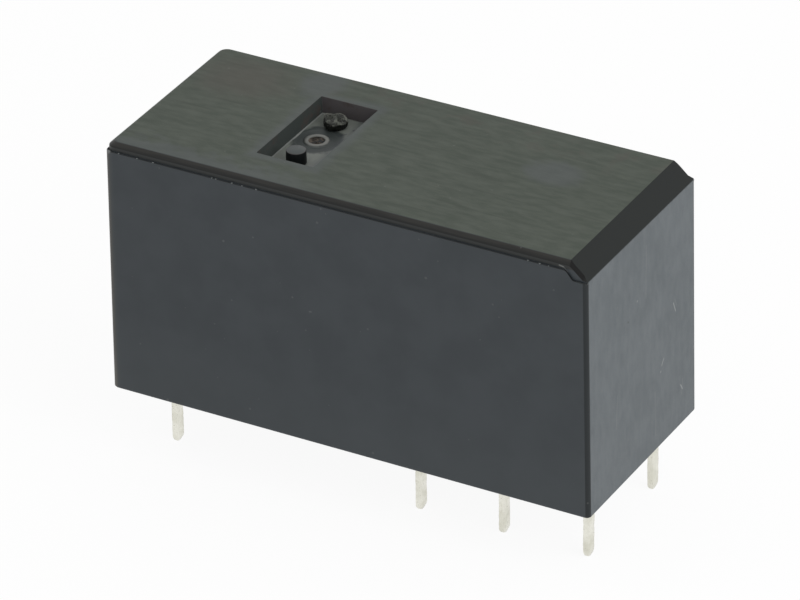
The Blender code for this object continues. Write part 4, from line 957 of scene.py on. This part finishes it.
def case_outline(height, inset, near_inset, far_inset, near=NEAR_CORNER, far=FAR_CORNER, run=0.0):
    """The case's outline, set in at its sides and ends, with its near and far corners' radii.
    height gives z from x and from how far a point faces sideways: 1 on a side, 0 on an end.
    run is a further inset of the sides, which shrinks with the bevel near the chamfer's foot."""
    points = []
    for quarter in range(4):
        x_side = 1 if quarter in (0, 3) else -1
        y_side = 1 if quarter in (0, 1) else -1
        for step in range(CORNER_STEPS + 1):
            angle = math.pi / 2 * (quarter + step / CORNER_STEPS)
            points.append((x_side, y_side, math.cos(angle), math.sin(angle), None))
        if quarter in (0, 2):
            stations = reversed(ALONG_CASE) if quarter == 0 else ALONG_CASE
            points += [(0, y_side, 0.0, y_side, x) for x in stations]
    ring = []
    for x_side, y_side, nx, ny, x in points:
        rough_x = x_side * HALF_LENGTH if x is None else x
        rise = (height(rough_x, abs(ny)) - RIM_Z) / (TOP_Z - RIM_Z)
        end = HALF_LENGTH - (NEAR_DRAFT * rise + near_inset if x_side < 0 else FAR_DRAFT * rise + far_inset)
        radius = near if x_side < 0 else far
        if x is None:
            x = x_side * (end - radius) + radius * nx
        side = HALF_WIDTH - SIDE_DRAFT * rise - (inset + run * bevel_share(x))
        y = y_side * side if x_side == 0 else y_side * (side - radius) + radius * ny
        ring.append((x, y, height(x, abs(ny))))
    return ring


def bevel_share(x, aside=1.0):
    """The bevel's size as a share of its full size: less along the chamfer, and where there is no room."""
    room = lid_z(x) - lip_z(x) - 0.035 * aside - 0.012
    narrowed = 1.0 - 0.2 * min(1.0, max(0.0, (x - CHAMFER_EDGE_X) / 0.2))
    return min(narrowed, max(0.02, room / (BEVEL_DROP + 0.04)))


rings = []
for step in range(5):
    angle = math.pi / 2 * step / 4
    z, inset = CASE_LOW_Z + RIM_ROUND * (1 - math.cos(angle)), RIM_ROUND * (1 - math.sin(angle))
    rings.append(case_outline(lambda x, aside: z, inset, inset, inset))
for inset, drop in ((0.0, 0.045), (0.006, 0.02), (0.018, 0.006), (0.035, 0.0), (0.05, 0.01)):
    rings.append(case_outline(lambda x, aside: lip_z(x) - drop * aside, inset, inset / 4, inset / 8))
for inset, rise, end_rise in ((0.075, -PARTING_DEPTH, 0.003), (LID_INSET, -PARTING_DEPTH, 0.006),
                              (LID_INSET, 0.03, 0.009)):
    rings.append(case_outline(lambda x, aside: lip_z(x) + rise * aside + end_rise * (1 - aside), inset,
                              LID_FLUSH, LID_FAR_FLUSH, LID_NEAR_CORNER, LID_FAR_CORNER))
for run, depth in ((0.0, BEVEL_DROP + 0.035), (0.004, BEVEL_DROP + 0.008), (0.02, BEVEL_DROP - 0.02),
                   (0.04, BEVEL_DROP - 0.042), (BEVEL_RUN - 0.055, 0.06), (BEVEL_RUN - 0.02, 0.027),
                   (BEVEL_RUN + 0.02, 0.006), (BEVEL_RUN + 0.05, 0.0)):
    rings.append(case_outline(lambda x, aside: lid_z(x) - depth * bevel_share(x, aside), LID_INSET,
                              LID_FLUSH + run, LID_FAR_FLUSH + 0.02 * run, LID_NEAR_CORNER,
                              LID_FAR_CORNER, run))
case = loft(rings)
case.faces.ensure_lookup_table()
roof = case.faces[-1]
level = [vertex for vertex in roof.verts if vertex.co.x < CHAMFER_EDGE_X + 0.0001]
sloped = [vertex for vertex in roof.verts if vertex.co.x > CHAMFER_EDGE_X - 0.0001]
bmesh.ops.delete(case, geom=[roof], context="FACES_ONLY")
for corners in (level, sloped):
    middle = sum((vertex.co for vertex in corners), Vector()) / len(corners)
    corners.sort(key=lambda vertex: math.atan2(vertex.co.y - middle.y, vertex.co.x - middle.x))
    case.faces.new(corners)
bmesh.ops.recalc_face_normals(case, faces=case.faces)
skirt_x, skirt_y = HALF_LENGTH - SKIRT_WALL, HALF_WIDTH - SKIRT_WALL
cavity = [rounded(-skirt_x, skirt_x, -skirt_y, skirt_y, 0.3, z) for z in (-2.0, SKIRT_TOP_Z)]
for z in (SKIRT_TOP_Z, TOP_Z - WALL):
    rise = (z - RIM_Z) / (TOP_Z - RIM_Z)
    near_x, far_x = HALF_LENGTH - NEAR_DRAFT * rise - WALL, HALF_LENGTH - FAR_DRAFT * rise - WALL
    y = HALF_WIDTH - SIDE_DRAFT * rise - WALL
    cavity.append(rounded(-near_x, far_x, -y, y, 0.3, z))
case = combined(case, loft(cavity), "DIFFERENCE")
well_x, well_y = RECESS_HALF_LENGTH + WALL, RECESS_HALF_WIDTH + WALL
well = [rounded(RECESS_X - well_x, RECESS_X + well_x, -well_y, well_y, 0.3, z)
        for z in (RECESS_UNDER_Z, TOP_Z - WALL / 2)]
case = combined(case, loft(well), "UNION")


def recess_ring(z, inset):
    x, y = RECESS_HALF_LENGTH - inset, RECESS_HALF_WIDTH - inset
    return rounded(RECESS_X - x, RECESS_X + x, -y, y, RECESS_CORNER, z, 3)


recess_steps = ((RECESS_FLOOR_Z, RECESS_DRAFT), (TOP_Z - 0.035, 0.0), (TOP_Z - 0.012, -0.008),
                (TOP_Z, -0.025), (TOP_Z + 0.03, -0.1))
case = combined(case, loft([recess_ring(z, inset) for z, inset in recess_steps]), "DIFFERENCE")


# Marks in the roof recess
# The post and the shallow dish are formed by the mould's tools. The ring and its ragged middle are
# where the gate was torn off, and the lump is the vent pipe melted shut with a hot tool.
POST_PLACE, POST_RADIUS, POST_HEIGHT = (POST_X, POST_Y, 0.0), 0.55, 0.75
GATE_PLACE, DISH_RADIUS, DISH_DEPTH = (GATE_X, GATE_Y, 0.0), 1.27, 0.06
RING_RADIUS, RING_FOOT_RADIUS, RING_BORE, RING_HEIGHT = 0.68, 0.74, 0.44, 0.105
VENT_PLACE, VENT_RADIUS, VENT_HEIGHT = (-5.21, 2.35, 0.0), 0.7, 0.69
SUNK_Z = 14.25

dish_z = RECESS_FLOOR_Z - DISH_DEPTH
dish = turned([(0, dish_z), (DISH_RADIUS - 0.36, dish_z), (DISH_RADIUS - 0.22, dish_z + 0.012),
               (DISH_RADIUS - 0.1, dish_z + 0.036), (DISH_RADIUS, RECESS_FLOOR_Z), (DISH_RADIUS, 15.2),
               (0, 15.2)], GATE_PLACE, 96)
dish = combined(dish, loft([recess_ring(14.0, RECESS_DRAFT), recess_ring(15.3, RECESS_DRAFT)]), "INTERSECT")
piece("case_shell", combined(case, dish, "DIFFERENCE"), case_finish, "housing", "case_plastic", "case",
      sharp=35)

post_top = RECESS_FLOOR_Z + POST_HEIGHT
post = turned([(0, SUNK_Z), (POST_RADIUS + 0.01, SUNK_Z), (POST_RADIUS + 0.01, RECESS_FLOOR_Z + 0.02),
               (POST_RADIUS - 0.01, post_top - 0.05), (POST_RADIUS - 0.022, post_top - 0.016),
               (POST_RADIUS - 0.05, post_top), (0, post_top)], POST_PLACE, 64)
piece("recess_post", post, case_finish, "housing", "case_plastic")

ring_finish, shader, place = finish_material("gate_ring_plastic")
skin = placed(moulded_skin, Vector=place, Grain=14.0, Flow=(2.0, 2.0, 2.0))
from_gate = vector_node("DISTANCE", place, (GATE_X, GATE_Y, RECESS_FLOOR_Z))["Value"]
from_gate = from_gate + ranged(skin["Flow"], -0.05, 0.05)
colour = toned(skin["Tone"], 0.3, 0.7, (0.1, 0.105, 0.097), (0.15, 0.152, 0.14))
# Painted shade: the ring darkens towards its outer flank, into the tone of the painted shade in the dish.
colour = toned(from_gate, 0.6, 0.73, colour, (0.045, 0.053, 0.051))
colour.to(shader["Base Color"])
ranged(skin["Tone"], 0.4, 0.55).to(shader["Roughness"])
roughened(shader, skin["Height"], 0.02)
ring_top, ring_middle = dish_z + RING_HEIGHT, (RING_RADIUS + RING_BORE) / 2
ring_profile = [(RING_BORE, SUNK_Z)]
for step in range(13):
    angle = math.pi * step / 12
    reach = ring_middle - (ring_middle - RING_BORE) * math.cos(angle)
    ring_profile.append((reach, ring_top - 0.055 + 0.055 * math.sin(angle)))
ring_profile += [(RING_RADIUS + 0.035, ring_top - 0.09), (RING_FOOT_RADIUS - 0.03, dish_z + 0.015),
                 (RING_FOOT_RADIUS + 0.03, dish_z - 0.01), (RING_FOOT_RADIUS + 0.03, SUNK_Z)]
ring = turned(ring_profile[::-1], GATE_PLACE, 72)
piece("gate_ring", ring, ring_finish, "housing", "case_plastic", sharp=70)

gate_finish, shader, place = finish_material("broken_gate")
torn = noise_value(place, 5.0, 5.0, 0.7)
colour = toned(torn, 0.42, 0.62, (0.016, 0.0135, 0.011), (0.095, 0.078, 0.064))
colour = toned(noise_value(place, 2.0), 0.5, 0.62, colour, (0.022, 0.026, 0.028))
shader["Specular IOR Level"].default_value = 0.15
colour.to(shader["Base Color"])
ranged(torn, 0.5, 0.8).to(shader["Roughness"])
roughened(shader, torn, 0.05, 0.9)
gate_z = ring_top - 0.045
gate_profile = [(0, SUNK_Z), (RING_BORE + 0.02, SUNK_Z), (RING_BORE + 0.02, gate_z - 0.01)]
gate_profile += [(RING_BORE * (1 - step / 14), gate_z) for step in range(1, 14)] + [(0, gate_z)]
gate = turned(gate_profile, GATE_PLACE, 56)
for vertex in gate.verts:
    if vertex.co.z > gate_z - 0.02:
        offset = vertex.co - Vector((*GATE_PLACE[:2], vertex.co.z))
        swirl = math.sin(math.atan2(offset.y, offset.x) * 2 + offset.length * 16)
        calm = min(1.0, max(0.0, (RING_BORE - offset.length) / 0.1))
        vertex.co.z += calm * (0.02 * swirl + 0.1 * noise.turbulence(vertex.co * 3.2, 4, False) - 0.07)
        vertex.co.z = max(vertex.co.z, dish_z + 0.006)
piece("gate_break", gate, gate_finish, "housing", "case_plastic", sharp=80)

vent_finish, shader, place = finish_material("melted_vent")
mottle = noise_value(place, 3.6, 4.0, 0.65)
fleck = noise_value(place, 9.0, 3.0, 0.7)
up = between(split(add(place.tree, "ShaderNodeTexCoord")["Normal"])["Z"], -0.1, 0.6)
top = between(split(place)["Z"], 14.86, 14.98)
colour = toned(mottle, 0.42, 0.6, (0.009, 0.01, 0.008), (0.062, 0.066, 0.055))
bright = [((-5.42, 2.9, 15.12), (-4.93, 2.87, 15.12), 0.13), ((-4.93, 2.87, 15.1), (-4.6, 2.52, 15.0), 0.11),
          ((-4.53, 2.3, 14.98), (-4.5, 2.3, 14.98), 0.12), ((-5.08, 2.08, 15.05), (-5.02, 2.1, 15.05), 0.1),
          ((-5.92, 2.85, 15.05), (-6.1, 2.3, 15.0), 0.24), ((-5.75, 2.62, 15.1), (-5.5, 2.74, 15.1), 0.09)]
dark = [((-4.9, 2.26, 15.08), (-4.86, 2.28, 15.08), 0.16), ((-5.5, 2.6, 15.1), (-5.6, 2.05, 15.0), 0.13),
        ((-5.75, 2.35, 15.05), (-5.72, 2.2, 15.05), 0.1)]
colour = coated(colour, (marked(place, bright) * 0.85, (0.125, 0.128, 0.112)),
                (marked(place, dark) * 0.9, (0.006, 0.007, 0.005)),
                (up * between(fleck, 0.66, 0.72), (0.26, 0.255, 0.22)))
# Painted shade: the lump's sides, underside and low part are made near black; only its high, upward-facing
# skin keeps its colour.
colour = blended(up * top, (0.0045, 0.005, 0.0042), colour)
colour.to(shader["Base Color"])
shader["Specular IOR Level"].default_value = 0.25
ranged(mottle, 0.3, 0.55).to(shader["Roughness"])
roughened(shader, fleck, 0.02, 0.6)
vent = bmesh.new()
bmesh.ops.create_icosphere(vent, subdivisions=6, radius=1.0)


def swelling(offset, width):
    """A bump: 1 at its middle, falling off within its width."""
    return math.exp(-((offset / width) ** 2))


for vertex in vent.verts:
    point = vertex.co.normalized()
    around = math.atan2(point.y, point.x)
    out = math.hypot(point.x, point.y)
    spur = swelling(math.remainder(around - 2.85, 2 * math.pi), 0.42)
    lumps = 0.1 * noise.noise(point * 1.9 + Vector((3.1, 0, 0))) + 0.05 * noise.noise(point * 5.0)
    reach = 0.93 + lumps + 0.36 * spur * max(0.0, 0.4 + point.z)
    height = math.copysign(abs(point.z) ** 0.5, point.z)
    if point.z > 0:
        crescent = 0.3 * swelling(math.remainder(around - 1.45, 2 * math.pi), 0.7) * swelling(out - 0.8, 0.2)
        hollow = 0.6 * swelling(point.x + 0.42, 0.2) * swelling(point.y - 0.1, 0.5)
        hollow += 0.5 * swelling(point.x - 0.46, 0.17) * swelling(point.y + 0.12, 0.2)
        knob = 0.3 * swelling(point.x - 0.2, 0.34) * swelling(point.y - 0.2, 0.32)
        folds = 0.1 * math.sin(around * 3.0 - out * 7.0) * out + 0.1 * noise.noise(point * 4.5)
        height += crescent + knob + folds - hollow + 0.05 * noise.noise(point * 13.0) + 0.1 * spur
    waist = 0.8 if point.z < -0.4 else 1.0 - 0.2 * max(0.0, -point.z / 0.4) ** 2
    vertex.co = Vector((point.x * reach * waist * VENT_RADIUS, point.y * reach * waist * VENT_RADIUS,
                        height * VENT_HEIGHT / 2))
lowest, highest = (pick(v.co.z for v in vent.verts) for pick in (min, max))
for vertex in vent.verts:
    share = (vertex.co.z - lowest) / (highest - lowest)
    vertex.co.z = RECESS_FLOOR_Z - 0.1 + (VENT_HEIGHT + 0.1) * share
bmesh.ops.translate(vent, verts=vent.verts, vec=VENT_PLACE)
piece("melted_vent_pip", vent, vent_finish, "housing", "case_plastic", sharp=180)


# Flash along the lid's parting line
# Crumbs of thin flash stand on the top edge of each side panel, where the mould's halves met.
FRONT_FLASH_X = (-13.5, -12.36, -11.39, -7.82, -7.58, -6.62, -6.01, -5.17, 10.79, 11.47, 11.98)
FLASH_Y, FLASH_REACH = 6.19, 0.035

flash_finish = moulded_finish("parting_flash", (0.09, 0.098, 0.1), (0.14, 0.15, 0.15), (0.2, 0.21, 0.2),
                              (0.5, 0.65))
random.seed(11)
crumbs = [(x, -FLASH_Y, random.uniform(0.7, 1.5)) for x in FRONT_FLASH_X]
crumbs += [(-14.08, -FLASH_Y + 0.03, 1.8)]
crumbs += [(random.uniform(-13.6, 12.4), FLASH_Y, random.uniform(0.6, 1.1)) for _ in range(12)]
shapes = []
for x, y, size in crumbs:
    crumb = bmesh.new()
    bmesh.ops.create_icosphere(crumb, subdivisions=2, radius=1.0)
    offset = Vector((x, y, size))
    for vertex in crumb.verts:
        reach = FLASH_REACH * (1 + 0.7 * noise.noise(vertex.co * 1.7 + offset))
        vertex.co = Vector((x + vertex.co.x * reach * size * 1.5, y + vertex.co.y * reach,
                            lip_z(x) - 0.02 + vertex.co.z * reach * min(1.2, size)))
    shapes.append(crumb)
piece("parting_flash", gathered(shapes), flash_finish, "housing", "case_plastic", sharp=50)


# Sealing resin
# Black epoxy is poured round the seat from below and cured. It wets the case's skirt, the seat and
# the pins, and climbs a little up each of them.
RESIN_LOW_Z, RESIN_TOP_Z, RESIN_CLIMB, RESIN_CLIMB_REACH = 0.45, 0.85, 0.075, 0.16
RESIN_COLUMNS, RESIN_ROWS = 150, 62

resin_finish, shader, place = finish_material("potting_resin")
cloud = noise_value(place, 0.7, 4.0, 0.6)
colour = toned(cloud, 0.35, 0.65, (0.009, 0.009, 0.01), (0.017, 0.016, 0.016))
dots = placed(specks, Vector=place, Spacing=1.6, Size=0.09)["Mask"]
blended(dots * 0.5, colour, (0.08, 0.078, 0.075)).to(shader["Base Color"])
ranged(cloud, 0.12, 0.3).to(shader["Roughness"])
shader["Coat Weight"].default_value = 0.3
roughened(shader, noise_value(place, 2.2, 2.0), 0.03, 0.5)


def outside_rectangle(x, y, centre_x, centre_y, half_x, half_y):
    return math.hypot(max(0.0, abs(x - centre_x) - half_x), max(0.0, abs(y - centre_y) - half_y))


def resin_z(x, y):
    """The height of the resin's lower face, which is drawn down wherever it touches something."""
    walls = [INNER_END - abs(x), INNER_SIDE - abs(y), outside_rectangle(x, y, 0, 0, SEAT_END, SEAT_SIDE)]
    walls += [outside_rectangle(x, y, pin_x, side * PIN_Y, PIN_THICKNESS / 2, PIN_WIDTH / 2)
              for pin_x in PIN_X for _, side in ROWS]
    climb = RESIN_CLIMB * math.exp(-max(0.0, min(walls)) / RESIN_CLIMB_REACH)
    return RESIN_LOW_Z - climb + 0.012 * noise.noise(Vector((x * 0.6, y * 0.6, 0)))


resin = bmesh.new()
columns = [INNER_END * (2 * i / RESIN_COLUMNS - 1) for i in range(RESIN_COLUMNS + 1)]
lines = [INNER_SIDE * (2 * j / RESIN_ROWS - 1) for j in range(RESIN_ROWS + 1)]
low = [[resin.verts.new((x, y, resin_z(x, y))) for y in lines] for x in columns]
for i in range(RESIN_COLUMNS):
    for j in range(RESIN_ROWS):
        resin.faces.new((low[i][j], low[i + 1][j], low[i + 1][j + 1], low[i][j + 1]))
border = [low[i][0] for i in range(RESIN_COLUMNS)] + low[-1][:-1]
border += [low[i][-1] for i in range(RESIN_COLUMNS, 0, -1)] + low[0][:0:-1]
high = [resin.verts.new((vertex.co.x, vertex.co.y, RESIN_TOP_Z)) for vertex in border]
for i in range(len(border)):
    j = (i + 1) % len(border)
    resin.faces.new((border[i], border[j], high[j], high[i]))
resin.faces.new(high)
bmesh.ops.recalc_face_normals(resin, faces=resin.faces)
clear_x, clear_y = SEAT_END + SLOT_PLAY / 2, SEAT_SIDE + SLOT_PLAY / 2
openings = [block(-clear_x, clear_x, -clear_y, clear_y, -1.0, 2.0)]
openings += pin_boxes(0.01, -1.0, 2.0)
resin = combined(resin, gathered(openings), "DIFFERENCE")
piece("sealing_resin_pour", resin, resin_finish, "housing", "resin", "sealing_resin", sharp=50)


# Table, camera and light
# A small white table-top set: a pale floor, even white surroundings, and one large soft lamp at the
# contact end. The camera looks down on the front and on the chamfered end.
AZIMUTH, ELEVATION, ROLL = math.radians(29.0247), math.radians(30.3375), math.radians(-0.7376)
AIM_RIGHT, AIM_UP, DISTANCE, LENS, SENSOR = -0.18262, 5.64413, 331.0601, 277.7514, 36.0
FLOOR_Z, FLOOR_HALF = -3.5, 1500.0
FLOOR_GLOW, ROOM_LIGHT = 0.93, 0.8
LAMP_PLACE, LAMP_SIZE, LAMP_POWER = (0.26, -0.06, 0.18), 0.3, 0.6


def seen_rays(tree):
    """1 for the rays that show the white surroundings, and 0 for those that carry their light."""
    path = add(tree, "ShaderNodeLightPath")
    return larger(larger(path["Is Camera Ray"], path["Is Glossy Ray"]), path["Is Transmission Ray"])


camera_data = bpy.data.cameras.new("camera")
camera = bpy.data.objects.new("camera", camera_data)
bpy.context.scene.collection.objects.link(camera)
level = math.cos(ELEVATION)
back = Vector((math.sin(AZIMUTH) * level, -math.cos(AZIMUTH) * level, math.sin(ELEVATION)))
right = Vector((0, 0, 1)).cross(back).normalized()
up = back.cross(right)
right, up = (math.cos(ROLL) * right + math.sin(ROLL) * up, math.cos(ROLL) * up - math.sin(ROLL) * right)
camera.location = (right * AIM_RIGHT + up * AIM_UP + back * DISTANCE) * MM
camera.rotation_euler = Matrix((right, up, back)).transposed().to_euler()
camera_data.sensor_width = SENSOR
camera_data.lens = LENS
camera_data.clip_start, camera_data.clip_end = 0.01, 10.0
bpy.context.scene.camera = camera

floor_finish = bpy.data.materials.new("floor_paper")
floor_finish.use_nodes = True
tree = floor_finish.node_tree
tree.nodes.clear()
paper = add(tree, "ShaderNodeBsdfDiffuse", {"Color": (0.92, 0.92, 0.92, 1)})[0]
glow = add(tree, "ShaderNodeEmission", {"Color": (1, 1, 1, 1), "Strength": 1.0})[0]
clear = add(tree, "ShaderNodeBsdfTransparent")[0]
seen = seen_rays(tree)
lit = add(tree, "ShaderNodeMixShader", {0: seen * FLOOR_GLOW, 1: paper, 2: glow})[0]
below = add(tree, "ShaderNodeNewGeometry")["Backfacing"]
surface = add(tree, "ShaderNodeMixShader", {0: below, 1: lit, 2: clear})[0]
add(tree, "ShaderNodeOutputMaterial", {"Surface": surface})
floor_mesh = bpy.data.meshes.new("floor")
corners = [Vector((x * FLOOR_HALF, y * FLOOR_HALF, FLOOR_Z)) * MM
           for x, y in ((-1, -1), (1, -1), (1, 1), (-1, 1))]
floor_mesh.from_pydata(corners, [], [(0, 1, 2, 3)])
floor_mesh.materials.append(floor_finish)
floor = bpy.data.objects.new("floor", floor_mesh)
bpy.context.scene.collection.objects.link(floor)

world = bpy.data.worlds.new("studio")
bpy.context.scene.world = world
world.use_nodes = True
tree = world.node_tree
tree.nodes.clear()
seen = seen_rays(tree)
room = add(tree, "ShaderNodeBackground", {"Color": (0.9, 0.9, 0.9, 1), "Strength": ROOM_LIGHT})[0]
white = add(tree, "ShaderNodeBackground", {"Color": (1, 1, 1, 1), "Strength": 1.0})[0]
shown = add(tree, "ShaderNodeMixShader", {0: seen, 1: room, 2: white})[0]
add(tree, "ShaderNodeOutputWorld", {"Surface": shown})

lamp_data = bpy.data.lights.new("soft_lamp", "AREA")
lamp_data.shape = "DISK"
lamp_data.size = LAMP_SIZE
lamp_data.energy = LAMP_POWER
lamp = bpy.data.objects.new("soft_lamp", lamp_data)
lamp.location = LAMP_PLACE
lamp.visible_glossy = False
lamp.rotation_euler = Vector(lamp.location).to_track_quat("Z", "Y").to_euler()
bpy.context.scene.collection.objects.link(lamp)

bpy.context.scene.view_settings.view_transform = "Standard"
